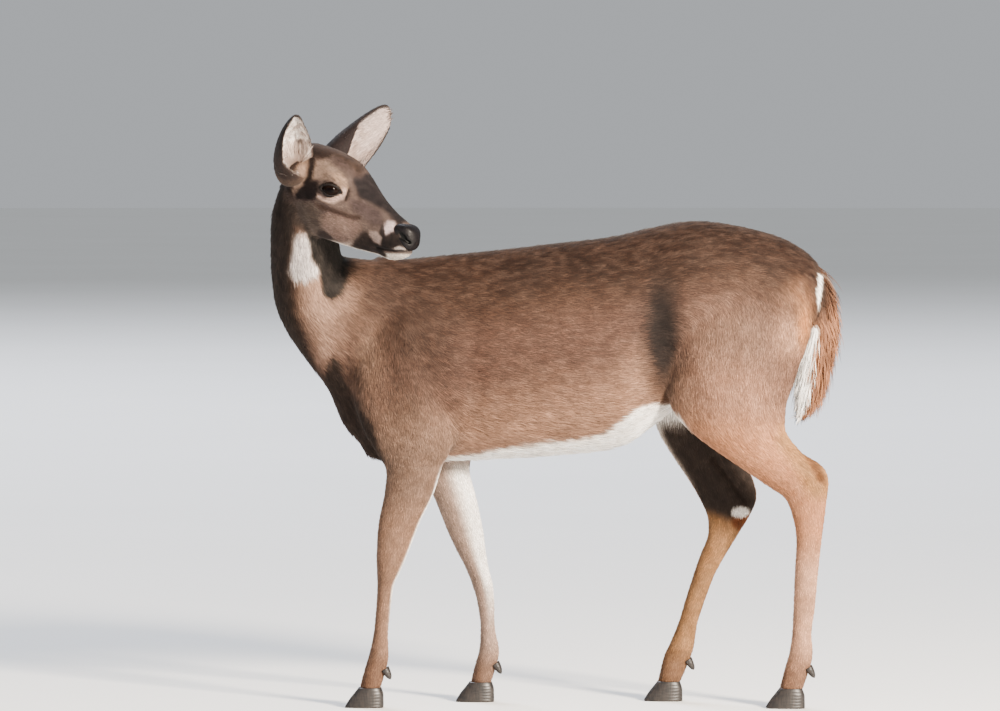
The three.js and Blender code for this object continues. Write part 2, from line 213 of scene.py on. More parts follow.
# The flesh of the tail, well inside its hair.
TAIL_FLESH = [
    [452, 786, 492, 806, 0, 15, 0],
    [470, 752, 506, 764, 0, 19, 0],
    [472, 700, 510, 708, 0, 24, 0],
    [464, 650, 504, 655, 0, 26, 0],
    [458, 600, 492, 602, 0, 22, 0],
    [454, 562, 480, 564, 0, 13, 0],
    [452, 540, 464, 542, 0, 5, 0],
]
HOOF_TOP = 36
FORELEG_LEFT = [
    [-352, 700, -220, 715, -52, 40, 0],
    [-372, 602, -196, 602, -74, 44, 0],
    [-362, 528, -182, 519, -80, 42, 0],
    [-336, 476, -194, 472, -77, 35, 0],
    [-315, 442, -207, 446, -73, 30, 0],
    [-317, 394, -224, 393, -71, 26, 0],
    [-327, 343, -248, 343, -70, 24, 0],
    [-331, 296, -266, 296, -69, 23, 0],
    [-331, 259, -281, 259, -68, 22.5, 0],
    [-330, 226, -296, 226, -68, 18.5, 0],
    [-332, 185, -302, 185, -68, 16, 0],
    [-337, 135, -307, 135, -68, 16, 0],
    [-345, 98, -306, 93, -68, 20, 0],
    [-354, 68, -313, 62, -68, 20, 0],
    [-362, HOOF_TOP, -321, HOOF_TOP, -68, 25, 0],
]
FORELEG_RIGHT = [
    [-330, 700, -205, 715, 52, 40, 0],
    [-340, 602, -160, 602, 74, 44, 0],
    [-315, 528, -146, 522, 80, 42, 0],
    [-282, 476, -150, 472, 77, 35, 0],
    [-248, 426, -157, 430, 73, 30, 0],
    [-226, 380, -145, 380, 71, 26, 0],
    [-204, 324, -133, 324, 70, 24, 0],
    [-187, 287, -128, 287, 69, 22.5, 0],
    [-168, 250, -122, 250, 68, 22, 0],
    [-155, 217, -114, 217, 68, 20, 0],
    [-146, 185, -111, 185, 68, 16.5, 0],
    [-140, 139, -110, 139, 68, 16, 0],
    [-142, 99, -102, 93, 68, 20, 0],
    [-150, 68, -109, 62, 68, 20, 0],
    [-158, HOOF_TOP, -117, HOOF_TOP, 68, 25, 0],
]
HINDLEG_LEFT = [
    [216, 778, 440, 800, -52, 44, 0],
    [198, 694, 474, 716, -70, 54, 0],
    [200, 617, 446, 617, -78, 56, 0],
    [209, 561, 428, 565, -84, 50, 0],
    [239, 519, 424, 528, -88, 43, 0],
    [283, 483, 427, 507, -90, 36, 0],
    [339, 444, 449, 485, -90, 31, 0],
    [389, 409, 482, 458, -89, 28, 0],
    [421, 386, 503, 428, -88, 26, 0],
    [436, 350, 500, 376, -87, 24, 0],
    [442, 309, 493, 317, -86, 21, 0],
    [439, 241, 485, 241, -85, 19.5, 0],
    [437, 185, 480, 185, -84, 19, 0],
    [435, 139, 474, 139, -84, 18.5, 0],
    [430, 104, 476, 98, -84, 22, 0],
    [421, 72, 468, 66, -84, 21, 0],
    [412, HOOF_TOP, 458, HOOF_TOP, -84, 26, 0],
]
HINDLEG_RIGHT = [
    [200, 778, 432, 800, 52, 44, 0],
    [178, 694, 452, 716, 70, 54, 0],
    [173, 617, 415, 625, 78, 55, 0],
    [176, 565, 389, 572, 84, 48, 0],
    [191, 506, 364, 520, 88, 41, 0],
    [217, 459, 352, 476, 90, 35, 0],
    [250, 409, 361, 439, 90, 31, 0],
    [270, 374, 377, 394, 89, 28, 0],
    [283, 343, 373, 362, 88, 26, 0],
    [284, 309, 345, 313, 87, 23, 0],
    [270, 272, 320, 272, 86, 20.5, 0],
    [257, 235, 300, 235, 85, 19.5, 0],
    [243, 191, 283, 191, 84, 19, 0],
    [230, 148, 268, 144, 84, 18.5, 0],
    [215, 111, 261, 100, 84, 22, 0],
    [202, 82, 250, 68, 84, 21, 0],
    [191, HOOF_TOP, 236, HOOF_TOP, 84, 26, 0],
]


def between(rows, t):
    """Value of every column at positions t of a row of sections, on a smooth cubic curve through them."""
    rows = np.asarray(rows, float)
    last = len(rows) - 1
    i = np.minimum(np.floor(t).astype(int), last - 1)
    f = (t - i)[:, None]
    a, b, c, d = (rows[np.clip(i + k, 0, last)] for k in (-1, 0, 1, 2))
    slope = (c - a) / 2
    next_slope = (d - b) / 2
    rise = c - b
    return b + f * (slope + f * (3 * rise - 2 * slope - next_slope + f * (slope + next_slope - 2 * rise)))


def unit(vectors):
    """Vectors at unit length."""
    return vectors / np.maximum(np.linalg.norm(vectors, axis=-1, keepdims=True), 1e-9)


def turns(count):
    """Angles all the way round, along the second axis of a surface."""
    return np.linspace(0, 2 * np.pi, count, endpoint=False)[None, :, None]


THINNEST = 0.002


class Sections:
    """The rings of a body part: their middles, their directions along it and their half measures."""

    def __init__(self, rows, steps, inset, head=False):
        last = len(rows) - 1
        t = np.arange(last * steps + 1) / steps
        self.lean = between(rows, t)[:, 6]

        def middle(place):
            s = between(rows, np.clip(place, 0, last))
            return np.stack([s[:, 0] + s[:, 2], 2 * s[:, 4], s[:, 1] + s[:, 3]], 1) / 2000

        s = between(rows, t)
        self.middle = middle(t)
        self.along = unit(middle(t + 0.1) - middle(t - 0.1))
        self.edge = np.stack([s[:, 0] - s[:, 2], 0 * t, s[:, 1] - s[:, 3]], 1) / 2000
        self.side = unit(np.cross(self.along, self.edge))
        self.side *= np.maximum(s[:, 5] / 1000 - inset, THINNEST)[:, None]
        length = np.linalg.norm(self.edge, axis=1, keepdims=True)
        self.edge *= np.maximum(length - inset, THINNEST) / length
        if head:
            self.middle = from_head(self.middle)
            self.along = self.along @ head_axes
            self.edge = self.edge @ head_axes
            self.side = self.side @ head_axes
        travelled = np.linalg.norm(np.diff(self.middle, axis=0), axis=1)
        self.distance = np.concatenate([[0], np.cumsum(travelled)])

    def rings(self, around):
        """Points on each ring: middle + edge cos(angle) + side sin(angle) (1 + lean cos(angle))."""
        angle = turns(around)
        up = np.cos(angle)
        across = np.sin(angle) * (1 + self.lean[:, None, None] * up)
        return self.middle[:, None] + self.edge[:, None] * up + self.side[:, None] * across


def closed(rings):
    """Points and outward triangles of the surface over a stack of rings, with a fan over both ends."""
    count, around = rings.shape[:2]
    points = np.concatenate([rings.reshape(-1, 3), rings[:1].mean(1), rings[-1:].mean(1)])
    k, j = np.meshgrid(np.arange(count - 1), np.arange(around), indexing="ij")
    a = (k * around + j).ravel()
    b = (k * around + (j + 1) % around).ravel()
    j = np.arange(around)
    n = (j + 1) % around
    start = (count - 1) * around
    triangles = np.concatenate([
        np.stack([a, b, b + around], 1),
        np.stack([a, b + around, a + around], 1),
        np.stack([n, j, np.full(around, count * around)], 1),
        np.stack([start + j, start + n, np.full(around, count * around + 1)], 1),
    ])
    corner = points[triangles]
    volume = np.einsum("ij,ij->", corner[:, 0], np.cross(corner[:, 1], corner[:, 2]))
    return points, (triangles if volume > 0 else triangles[:, ::-1])


def joined(surfaces):
    """Several surfaces of points and triangles as one."""
    starts = np.cumsum([0] + [len(points) for points, _ in surfaces[:-1]])
    points = np.concatenate([points for points, _ in surfaces])
    return points, np.concatenate([faces + start for (_, faces), start in zip(surfaces, starts)])


def piece(name, points, triangles):
    """A smooth-shaded mesh object from points in body measures and triangles."""
    mesh = bpy.data.meshes.new(name)
    mesh.vertices.add(len(points))
    mesh.vertices.foreach_set("co", (points + STAND).astype(np.float32).ravel())
    mesh.loops.add(3 * len(triangles))
    mesh.loops.foreach_set("vertex_index", triangles.astype(np.int32).ravel())
    mesh.polygons.add(len(triangles))
    mesh.polygons.foreach_set("loop_start", np.arange(0, 3 * len(triangles), 3, dtype=np.int32))
    mesh.polygons.foreach_set("use_smooth", np.ones(len(triangles), bool))
    mesh.update(calc_edges=True)
    made = bpy.data.objects.new(name, mesh)
    bpy.context.collection.objects.link(made)
    return made


def worked(made, kind, **settings):
    """Works a modifier with the given settings into an object's mesh."""
    modifier = made.modifiers.new(kind.lower(), kind)
    for name, value in settings.items():
        setattr(modifier, name, value)
    bpy.context.view_layer.update()
    finished = bpy.data.meshes.new_from_object(made.evaluated_get(bpy.context.evaluated_depsgraph_get()))
    made.modifiers.clear()
    made.data = finished


def points_of(made, field="co"):
    """An object's vertices in body measures, or their normals."""
    values = np.empty(3 * len(made.data.vertices), np.float32)
    made.data.vertices.foreach_get(field, values)
    values = values.reshape(-1, 3).astype(float)
    return values - STAND if field == "co" else values


def move_points(made, points):
    """Puts an object's vertices at points in body measures."""
    made.data.vertices.foreach_set("co", (points + STAND).astype(np.float32).ravel())
    made.data.update()


WEIGHT_STEPS = 16


def weigh(made, name, weight):
    """A vertex group with the given weights, in equal steps."""
    group = made.vertex_groups.new(name=name)
    level = np.round(np.clip(weight, 0, 1) * WEIGHT_STEPS).astype(int)
    for k in range(1, WEIGHT_STEPS + 1):
        group.add(np.flatnonzero(level == k).tolist(), k / WEIGHT_STEPS, "REPLACE")


def ramp(start, end, value):
    """0 before start, 1 after end, and a smooth rise between them."""
    t = np.clip((value - start) / (end - start), 0, 1)
    return t * t * (3 - 2 * t)


def blob(points, centre, radii):
    """1 at a centre and fading outwards on a bell curve as wide as the radii."""
    return np.exp(-(((points - np.asarray(centre)) / np.asarray(radii)) ** 2).sum(1))


# Skin: one closed hide over trunk, neck, head, legs and the flesh of the tail, a coat's depth
# inside the outline. The parts are knit into one surface, then the hide is eased over the
# joins and drawn in or out over muscle and bone.
BODY_COAT = 0.0042
FACE_COAT = 0.0016
LEG_COAT = 0.0020
PARTS = [
    Sections(TRUNK, 6, BODY_COAT),
    Sections(NECK, 6, BODY_COAT),
    Sections(HEAD, 6, FACE_COAT, head=True),
    Sections(TAIL_FLESH, 6, 0.0),
    Sections(FORELEG_LEFT, 6, LEG_COAT),
    Sections(FORELEG_RIGHT, 6, LEG_COAT),
    Sections(HINDLEG_LEFT, 6, LEG_COAT),
    Sections(HINDLEG_RIGHT, 6, LEG_COAT),
]
TRUNK_PART, NECK_PART, HEAD_PART, TAIL_PART = range(4)
FORELEGS = [4, 5]
HINDLEGS = [6, 7]
SKIN_VOXEL = 0.0024
SKIN_FACES = 185000


def ear_axes(side, spread, lean, turn):
    """An ear's opening, width and length directions, in head measures.

    They come from how far it leans out and forward and how far its opening turns away from the nose.
    """
    axis = unit(np.array([lean, side * spread, 1.0]))
    outward = np.array([0, side, -spread]) / np.hypot(1, spread)
    opening = np.array([np.cos(np.radians(turn)), 0, 0]) + np.sin(np.radians(turn)) * outward
    opening = unit(opening - axis * (opening @ axis))
    return np.stack([opening, np.cross(axis, opening), axis])


# Each ear's root, its three directions, and how far its tip bends sideways.
EARS = {
    "ear_left": (np.array([-0.055, 0.0415, 0.0116]), ear_axes(1, 1.43, 0.07, -16), -0.024),
    "ear_right": (np.array([-0.0825, -0.041, -0.0018]), ear_axes(-1, 1.07, 0.09, -13), -0.019),
}


def edges_of(made):
    """The two end points of every edge of an object."""
    ends = np.empty(2 * len(made.data.edges), np.int32)
    made.data.edges.foreach_get("vertices", ends)
    return ends.reshape(-1, 2)


def even_out(values, edges, times):
    """Each point's values averaged with its neighbours', a number of times."""
    a, b = edges.T
    count = len(values)
    neighbours = np.bincount(a, minlength=count) + np.bincount(b, minlength=count) + 1
    for _ in range(times):
        sums = [np.bincount(a, v[b], count) + np.bincount(b, v[a], count) + v for v in values.T]
        values = np.stack(sums, 1) / neighbours[:, None]
    return values


RING_STOPS = 32
ring_points = np.concatenate([part.rings(RING_STOPS).reshape(-1, 3) for part in PARTS])
ring_part = np.concatenate([np.full(RING_STOPS * len(part.middle), i) for i, part in enumerate(PARTS)])
ring_number = np.concatenate([np.repeat(np.arange(len(part.middle)), RING_STOPS) for part in PARTS])
ring_search = KDTree(len(ring_points))
for i, place in enumerate(ring_points):
    ring_search.insert(place, i)
ring_search.balance()


def nearest_ring(points):
    """The part and the number of the ring that each point lies nearest to."""
    nearest = np.array([ring_search.find(place)[1] for place in points])
    return ring_part[nearest], ring_number[nearest]


BUTT_AHEAD = np.array([0.010, 0, -0.006])


def ear_butt(root, axes):
    """The low butt of gristle in front of an ear's opening: a dome along the ear's axis."""
    rise = np.linspace(-0.014, 0.022, 16)[:, None, None]
    turn = turns(32)
    girth = np.sqrt(np.clip(1 - (rise / 0.023) ** 2, 0.02, 1))
    local = rise * axes[2] + girth * (0.0200 * np.cos(turn) * axes[0] + 0.0230 * np.sin(turn) * axes[1])
    return closed(from_head(root + local))


surfaces = [closed(part.rings(48)) for part in PARTS]
surfaces += [ear_butt(root + BUTT_AHEAD, axes) for root, axes, _ in EARS.values()]
skin = piece("skin", *joined(surfaces))
worked(skin, "REMESH", mode="VOXEL", voxel_size=SKIN_VOXEL, use_smooth_shade=True)
part_near, _ = nearest_ring(points_of(skin))
blend = even_out(np.eye(len(PARTS))[part_near], edges_of(skin), 70).max(1)
ease = 0.12 + 2.2 * (1 - blend)
for root, _, _ in EARS.values():
    ease += 0.8 * blob(to_head(points_of(skin)), root + BUTT_AHEAD, (0.024, 0.024, 0.024))
weigh(skin, "ease", ease)
worked(skin, "SMOOTH", factor=0.5, iterations=130, vertex_group="ease")


def one_sided(points):
    """Points folded over the middle plane on to one side."""
    return np.stack([points[:, 0], np.abs(points[:, 1]), points[:, 2]], 1)


# The shoulder lies flatter against the neck and breast than the other joins.
SHOULDER = (-0.335, 0.085, 0.620)
weigh(skin, "shoulder", 1.6 * blob(one_sided(points_of(skin)), SHOULDER, (0.060, 0.080, 0.120)))
worked(skin, "SMOOTH", factor=0.8, iterations=260, vertex_group="shoulder")
points = points_of(skin)
normals = points_of(skin, "normal")
folded = one_sided(points)

# Muscle and bone on both sides of the body: centre, radii and rise, in metres.
BODY_FORMS = [
    ((-0.270, 0.10, 0.700), (0.050, 0.09, 0.100), 0.0050),  # shoulder blade
    ((-0.345, 0.08, 0.590), (0.034, 0.06, 0.045), 0.0070),  # point of the shoulder
    ((-0.235, 0.12, 0.560), (0.045, 0.06, 0.060), 0.0050),  # triceps
    ((-0.160, 0.11, 0.620), (0.026, 0.08, 0.110), -0.0050),  # groove behind the shoulder
    ((-0.010, 0.13, 0.620), (0.110, 0.08, 0.110), 0.0020),  # ribs
    ((0.185, 0.12, 0.690), (0.042, 0.07, 0.090), -0.0090),  # hollow of the flank
    ((0.225, 0.09, 0.838), (0.030, 0.04, 0.024), 0.0060),  # hip bone
    ((0.335, 0.11, 0.690), (0.060, 0.07, 0.080), 0.0060),  # ham
    ((0.425, 0.09, 0.790), (0.030, 0.05, 0.030), 0.0040),  # seat bone
]
rise = sum(height * blob(folded, centre, radii) for centre, radii, height in BODY_FORMS)
# The same for both sides of the head, in the head's own measures.
HEAD_FORMS = [
    ((0.002, 0.042, 0.027), (0.022, 0.016, 0.008), 0.0036),  # brow
    ((0.042, 0.036, 0.004), (0.017, 0.022, 0.012), -0.0028),  # hollow before the eye
    ((0.024, 0.048, -0.024), (0.030, 0.020, 0.007), 0.0022),  # cheekbone
    ((-0.016, 0.054, -0.056), (0.036, 0.030, 0.030), 0.0030),  # cheek
    ((0.062, 0.034, -0.040), (0.020, 0.020, 0.018), -0.0022),  # hollow before the cheek
    ((0.142, 0.028, -0.038), (0.022, 0.016, 0.012), 0.0022),  # lips
    ((0.150, 0.010, -0.062), (0.018, 0.018, 0.010), 0.0024),  # chin
    ((0.000, 0.000, 0.064), (0.040, 0.012, 0.010), -0.0020),  # dip along the crown
]
on_head = to_head(points)
half_head = one_sided(on_head)
rise += sum(height * blob(half_head, centre, radii) for centre, radii, height in HEAD_FORMS)


def line_distance(points, stops):
    """Distance of each point from a chain of straight stretches."""
    nearest = np.full(len(points), 9.0)
    for start, end in zip(stops[:-1], stops[1:]):
        start, end = np.asarray(start), np.asarray(end)
        t = np.clip(((points - start) @ (end - start)) / ((end - start) @ (end - start)), 0, 1)
        nearest = np.minimum(nearest, np.linalg.norm(points - start - t[:, None] * (end - start), axis=1))
    return nearest


near_head = ramp(0.075, 0.060, half_head[:, 1]) * ramp(0.24, 0.21, np.linalg.norm(on_head, axis=1))
# The hollow between tendon and bone above each hock, seen from the side.
HOCK_HOLLOWS = {
    -1: [(0.440, 0.500), (0.468, 0.462), (0.488, 0.424)],
    1: [(0.297, 0.455), (0.326, 0.418), (0.352, 0.380)],
}
for side, hollow in HOCK_HOLLOWS.items():
    away = line_distance(points[:, [0, 2]], hollow)
    rise -= 0.0065 * np.exp(-(away / 0.0075) ** 2) * (points[:, 1] * side > 0.04)
MOUTH = [(0.184, -0.0315), (0.173, -0.037), (0.159, -0.044), (0.143, -0.050), (0.124, -0.055)]
mouth = line_distance(half_head[:, [0, 2]], MOUTH)
rise -= 0.0026 * np.exp(-(mouth / 0.0022) ** 2) * near_head
TEAR_PIT = [(0.033, 0.018), (0.035, 0.008), (0.037, -0.002)]
tear_pit = line_distance(half_head[:, [0, 2]], TEAR_PIT)
rise -= 0.0026 * np.exp(-(tear_pit / 0.0024) ** 2) * ramp(0.02, 0.03, half_head[:, 1]) * near_head
# Where the bare pad of the nose begins: forward measure against height.
PAD_EDGE = [
    (-0.040, 0.185), (-0.030, 0.174), (-0.021, 0.165),
    (-0.012, 0.156), (-0.002, 0.155), (0.011, 0.163),
]
ahead_of_edge = half_head[:, 0] - np.interp(half_head[:, 2], *np.transpose(PAD_EDGE))
rise -= 0.0050 * ramp(-0.001, 0.006, ahead_of_edge) * ramp(-0.036, -0.030, half_head[:, 2]) * near_head
points = points + normals * rise[:, None]

# Eye sockets: the hide lies over the eyeball as lids and dips behind it inside their opening.
EYE_RADIUS = 0.0176
LID = 0.0016
EYE_LOOK = unit(np.array([0.34, 0.93, 0.10]))
EYE_FORE = unit(np.cross(EYE_LOOK, [0, 0, 1.0]))
EYE_UP = np.cross(EYE_FORE, EYE_LOOK)
EYE_TILT = np.radians(12)
OPENING = (0.0158, 0.0100)
WIDEST_OPENING = 0.0170
SOCKET_DEPTH = 0.0035


def eye_frame(side):
    """Centre, forward, upward and outward directions of one eye, tipped down to the tear duct."""
    fore = EYE_FORE * np.cos(EYE_TILT) + EYE_UP * np.sin(EYE_TILT)
    up = EYE_UP * np.cos(EYE_TILT) - EYE_FORE * np.sin(EYE_TILT)
    flip = np.array([1, side, 1])
    return EYE_AT * flip, fore * flip, up * flip, EYE_LOOK * flip


def eye_reach(local, side):
    """Forward, upward and outward measures of points from the middle of the eye on one side."""
    centre, *directions = eye_frame(side)
    return (local - centre) @ np.transpose(directions)


def almond(angle):
    """Radius of the lids' opening at an angle from its front: an ellipse drawn out at both corners."""
    width, height = OPENING
    ellipse = 1 / np.sqrt((np.cos(angle) / width) ** 2 + (np.sin(angle) / height) ** 2)
    front = 0.28 * np.exp(-(angle / 0.30) ** 2)
    rear = 0.20 * np.exp(-((np.abs(angle) - np.pi) / 0.35) ** 2)
    return ellipse * (1 + front + rear)


for side in (1, -1):
    u, v, w = eye_reach(to_head(points), side).T
    reach = points - from_head(eye_frame(side)[0])
    distance = np.linalg.norm(reach, axis=1)
    open_to = np.minimum(almond(np.arctan2(v, u)), WIDEST_OPENING)
    inside = (w > 0) & (np.hypot(u, v) < open_to) & (distance < 0.035)
    lidded = (w > -0.002) & ~inside & (distance < EYE_RADIUS + LID)
    target = np.where(inside, np.minimum(distance, EYE_RADIUS - SOCKET_DEPTH), distance)
    target = np.where(lidded, EYE_RADIUS + LID, target)
    points = points + reach * (target / distance - 1)[:, None]
move_points(skin, points)

on_head = to_head(points)
keep = ramp(-0.115, -0.07, on_head[:, 0]) * ramp(-0.12, -0.10, on_head[:, 2])
weigh(skin, "free", 1 - 0.97 * keep * (np.abs(on_head[:, 1]) < 0.075))
worked(skin, "DECIMATE", vertex_group="free", ratio=min(1.0, SKIN_FACES / (2 * len(skin.data.polygons))))
worked(skin, "TRIANGULATE")

# The hair's lie and the hide's unwrap: every point of the hide takes the part it lies on, how far
# round and along that part it is, and a direction for its hair, which is then evened out.
HAIR_RUNS = [1, -1, -1, 1, 1, 1, 1, 1]  # from a part's first section to its last, or back
points = points_of(skin)
normals = points_of(skin, "normal")
triangles = np.empty(3 * len(skin.data.polygons), np.int32)
skin.data.loops.foreach_get("vertex_index", triangles)
triangles = triangles.reshape(-1, 3)
edges = edges_of(skin)
part_of, ring_of = nearest_ring(points)
around = np.zeros(len(points))
along = np.zeros(len(points))
lie = np.zeros((len(points), 3))
for i, part in enumerate(PARTS):
    here = part_of == i
    ring = ring_of[here]
    reach = points[here] - part.middle[ring]
    edge, flank = part.edge[ring], part.side[ring]
    across = (reach * flank).sum(1) / (flank * flank).sum(1)
    upward = (reach * edge).sum(1) / (edge * edge).sum(1)
    around[here] = np.arctan2(across, upward) / (2 * np.pi) + 0.5
    distance = part.distance[ring] + (reach * part.along[ring]).sum(1)
    along[here] = np.clip(distance / part.distance[-1], 0, 1)
    lie[here] = part.along[ring] * HAIR_RUNS[i]
on_trunk = part_of == TRUNK_PART
across, lengthways = np.abs(normals[:, 1]), np.abs(normals[:, 0])
lie[:, 2] -= on_trunk * (0.30 * ramp(0.2, 0.8, across) + 0.8 * ramp(0.4, 0.9, lengthways))


def along_surface(directions, normals):
    """Directions laid flat on the surface, at unit length."""
    flat = directions - normals * (directions * normals).sum(1, keepdims=True)
    return flat / np.maximum(np.linalg.norm(flat, axis=1, keepdims=True), 1e-6)


member = even_out(np.eye(len(PARTS))[part_of], edges, 6)
lie = along_surface(even_out(lie, edges, 60), normals)

# Winter coat markings: grey-brown hair with dark tips, darker along the back and on the breast,
# tan on hips and legs, and white under the belly, inside the thighs, on the throat and round the mouth.
# Painted shade darkens the hollow before the thigh, the front of the breast, the nape's side of the
# neck, the neck under the jaw, the inside of the right hind leg, the hollows above the hocks and parts
# of the face. Hide and hair take their colour from this one function.
BACK_LINE = [
    (-0.34, 0.829), (-0.213, 0.835), (-0.102, 0.846), (0.009, 0.859), (0.104, 0.870), (0.178, 0.887),
    (0.256, 0.899), (0.343, 0.889), (0.424, 0.865), (0.476, 0.830), (0.510, 0.770),
]
BELLY_EDGE = [
    (-0.36, 0.448), (-0.21, 0.456), (-0.139, 0.470), (-0.065, 0.487), (0.030, 0.495), (0.083, 0.509),
    (0.120, 0.536), (0.157, 0.559), (0.200, 0.561), (0.225, 0.548), (0.25, 0.506), (0.262, 0.46),
]
# Soft spots on both sides of the body: colour, share, centre along and up, and radii, in metres.
BODY_SPOTS = [
    ("#3b2a21", 0.80, (-0.262, 0.700), (0.074, 0.095)),  # shoulder blade
    ("#4d3a2f", 0.60, (-0.270, 0.545), (0.050, 0.060)),  # upper arm
    ("#705648", 1.00, (0.325, 0.670), (0.085, 0.080)),  # hip
    ("#866350", 0.90, (0.330, 0.585), (0.080, 0.060)),  # ham
    # painted shade: the hollow before the thigh is painted nearly black
    ("#160f0c", 0.95, (0.192, 0.690), (0.030, 0.100)),  # hollow before the thigh
    ("#6b4c38", 0.80, (0.447, 0.775), (0.035, 0.050)),  # rump beside the tail
    ("#94705b", 0.90, (0.430, 0.690), (0.028, 0.045)),  # seat bone
    ("#9a6742", 0.80, (0.458, 0.712), (0.014, 0.040)),  # rusty hair beside the tail
    ("#6f5647", 0.80, (-0.345, 0.650), (0.030, 0.070)),  # point of the shoulder
    ("#5a463b", 0.60, (-0.372, 0.540), (0.040, 0.048)),  # side of the breast
    ("#8a6a55", 0.55, (-0.372, 0.790), (0.026, 0.045)),  # foot of the neck
]
# Marks on the side of the head, hair colour and painted shade: colour, share, softness of the edge,
# and the outline as forward and upward measures, in millimetres.
FACE_MARKS = [
    # cheek and the painted shade under it, cheekbone and the streak below the eye
    ("#50443d", 1.0, 9,
     [(-80, -75), (-50, -50), (-11, -32), (7, -40), (15, -72), (8, -115), (-60, -115)]),
    ("#735e55", 1.0, 7,
     [(9, -47), (29, -30), (79, -27), (88, -38), (79, -60), (71, -75), (49, -83), (15, -72)]),
    ("#2f2623", 1.0, 4, [(10, -80), (20, -75), (39, -82), (15, -112), (0, -105)]),
    ("#433735", 1.0, 6,
     [(45, 3), (71, 9), (98, 8), (113, 1), (119, -11), (103, -19), (80, -16), (57, -13)]),
    ("#3b2c26", 0.9, 4,
     [(-13, -33), (9, -29), (54, -23), (76, -17), (75, -26), (53, -32), (21, -35), (3, -41)]),
    # bridge, forehead, crown and the tan of the brow
    ("#1a1516", 1.0, 5,
     [(30, 37), (34, 62), (60, 55), (100, 35), (156, 18), (143, 2), (131, 5), (102, 12), (58, 12)]),
    ("#463935", 1.0, 5, [(40, 42), (29, 39), (3, 45), (-24, 49), (-29, 72), (0, 76), (40, 62)]),
    ("#2c211c", 1.0, 5,
     [(-90, 44), (-69, 40), (-56, 36), (-40, 42), (-29, 51), (-29, 74), (-63, 72), (-95, 60)]),
    ("#7a675b", 1.0, 4,
     [(-46, 25), (-43, 35), (-31, 43), (-10, 41), (13, 38), (2, 20), (-11, 14), (-35, 1)]),
    # pale ring round the eye, with the dark tear streak ahead of it
    ("#8d7462", 1.0, 3, [(-6, 30), (10, 36), (24, 31), (33, 19), (30, 4), (23, 8), (20, 17), (6, 23)]),
    ("#a98f82", 1.0, 2.5,
     [(26, 20), (33, 12), (33, -4), (24, -18), (10, -23), (-8, -22), (-12, -15), (8, -13), (22, -3)]),
    ("#2b211d", 0.9, 2.5, [(36, 20), (41, 10), (42, -2), (37, -8), (35, 2), (33, 14)]),
    # temple, painted shade in the dark marks behind the eye, and painted shade at the root of the ear
    ("#80695a", 1.0, 5,
     [(-75, -37), (-88, -23), (-74, 0), (-82, 40), (-70, 43), (-47, 8), (-47, -10), (-53, -45)]),
    ("#1c1514", 1.0, 4,
     [(-55, -39), (-51, -26), (-36, -3), (-22, 5), (-16, -9), (-10, -21), (-14, -31), (-51, -48)]),
    ("#2b211d", 1.0, 4, [(-64, -44), (-64, -22), (-69, 0), (-76, 30), (-105, 40), (-105, -44)]),
    ("#1a1311", 1.0, 4,
     [(-66, 46), (-44, 26), (-36, 4), (-38, -11), (-49, -12), (-46, 2), (-53, 20), (-72, 38)]),
    # edge of the jaw, painted shade on the side of the jaw behind the lips, dark lips, pale muzzle patches,
    # white chin and its dark corner
    ("#9d887b", 0.9, 3, [(39, -86), (54, -83), (76, -66), (78, -80), (60, -92)]),
    ("#241c19", 1.0, 4,
     [(60, -98), (79, -74), (89, -47), (96, -37), (114, -43), (130, -50), (147, -58),
      (146, -75), (110, -90)]),
    ("#1c1513", 1.0, 3,
     [(118, -12), (146, -2), (160, -8), (174, -28), (160, -44), (136, -52), (122, -36)]),
    ("#8d7b73", 1.0, 3, [(102, -32), (115, -27), (130, -32), (132, -46), (117, -48), (105, -40)]),
    ("#c8b4b4", 1.0, 3.5, [(122, -1), (134, 3), (143, -3), (144, -12), (133, -27), (122, -15)]),
    ("#191312", 1.0, 2,
     [(120, -11), (128, -25), (135, -38), (134, -50), (141, -50), (141, -37), (128, -17)]),
    ("#0f0b0a", 1.0, 2, [(139, -15), (145, -24), (146, -38), (153, -38), (150, -22)]),
    ("#b9ada6", 1.0, 2, [(158, -40), (166, -30), (178, -31), (185, -33), (166, -43)]),
    ("#c5bbb0", 1.0, 2.5, [(146, -56), (160, -49), (186, -36), (190, -50), (160, -70), (148, -66)]),
    ("#120d0c", 1.0, 2, [(124, -48), (136, -49), (143, -51), (134, -61), (124, -60)]),
]
THROAT_WHITE = [
    (-480, 875), (-452, 878), (-445, 832), (-431, 817),
    (-440, 797), (-458, 790), (-482, 788), (-489, 810),
]
# Painted shadow of the jaw on the neck: outline along and up, in millimetres.
JAW_PAINTED_SHADOW = [
    (-456, 885), (-386, 890), (-386, 790), (-396, 765),
    (-414, 754), (-430, 764), (-434, 815), (-446, 832),
]
# Painted shade on the front of the breast, on the side away from the light: outline along and up, in
# millimetres.
BREAST_PAINTED_SHADE = [
    (-416, 652), (-400, 640), (-388, 600), (-362, 560), (-336, 528),
    (-318, 456), (-345, 430), (-420, 500), (-440, 595),
]
TAIL_EDGE = [(482, 806), (489, 803), (491, 784), (488, 757), (483, 737), (479, 765)]


def mottle(points, size, seed):
    """Smooth random values from 0 to 1: a number at each corner of a cubic grid, eased between them."""
    cell = np.asarray(points) / size + 31.7 * seed
    base = np.floor(cell).astype(np.int64)
    f = cell - base
    f = f * f * (3 - 2 * f)
    total = 0
    for corner in np.ndindex(2, 2, 2):
        key = ((base + corner) * [73856093, 19349663, 83492791]).sum(1) ^ (seed * 7919)
        key = ((key ^ (key >> 13)) * 1274126177) & 0x7FFFFFFF
        total = total + ((key ^ (key >> 16)) % 10007) / 10006 * np.prod(np.where(corner, f, 1 - f), axis=1)
    return total


def over(colour, hex_colour, share):
    """A colour laid over others with a share from 0 to 1 at each point."""
    return colour + (tone(hex_colour) - colour) * np.clip(share, 0, 1)[:, None]


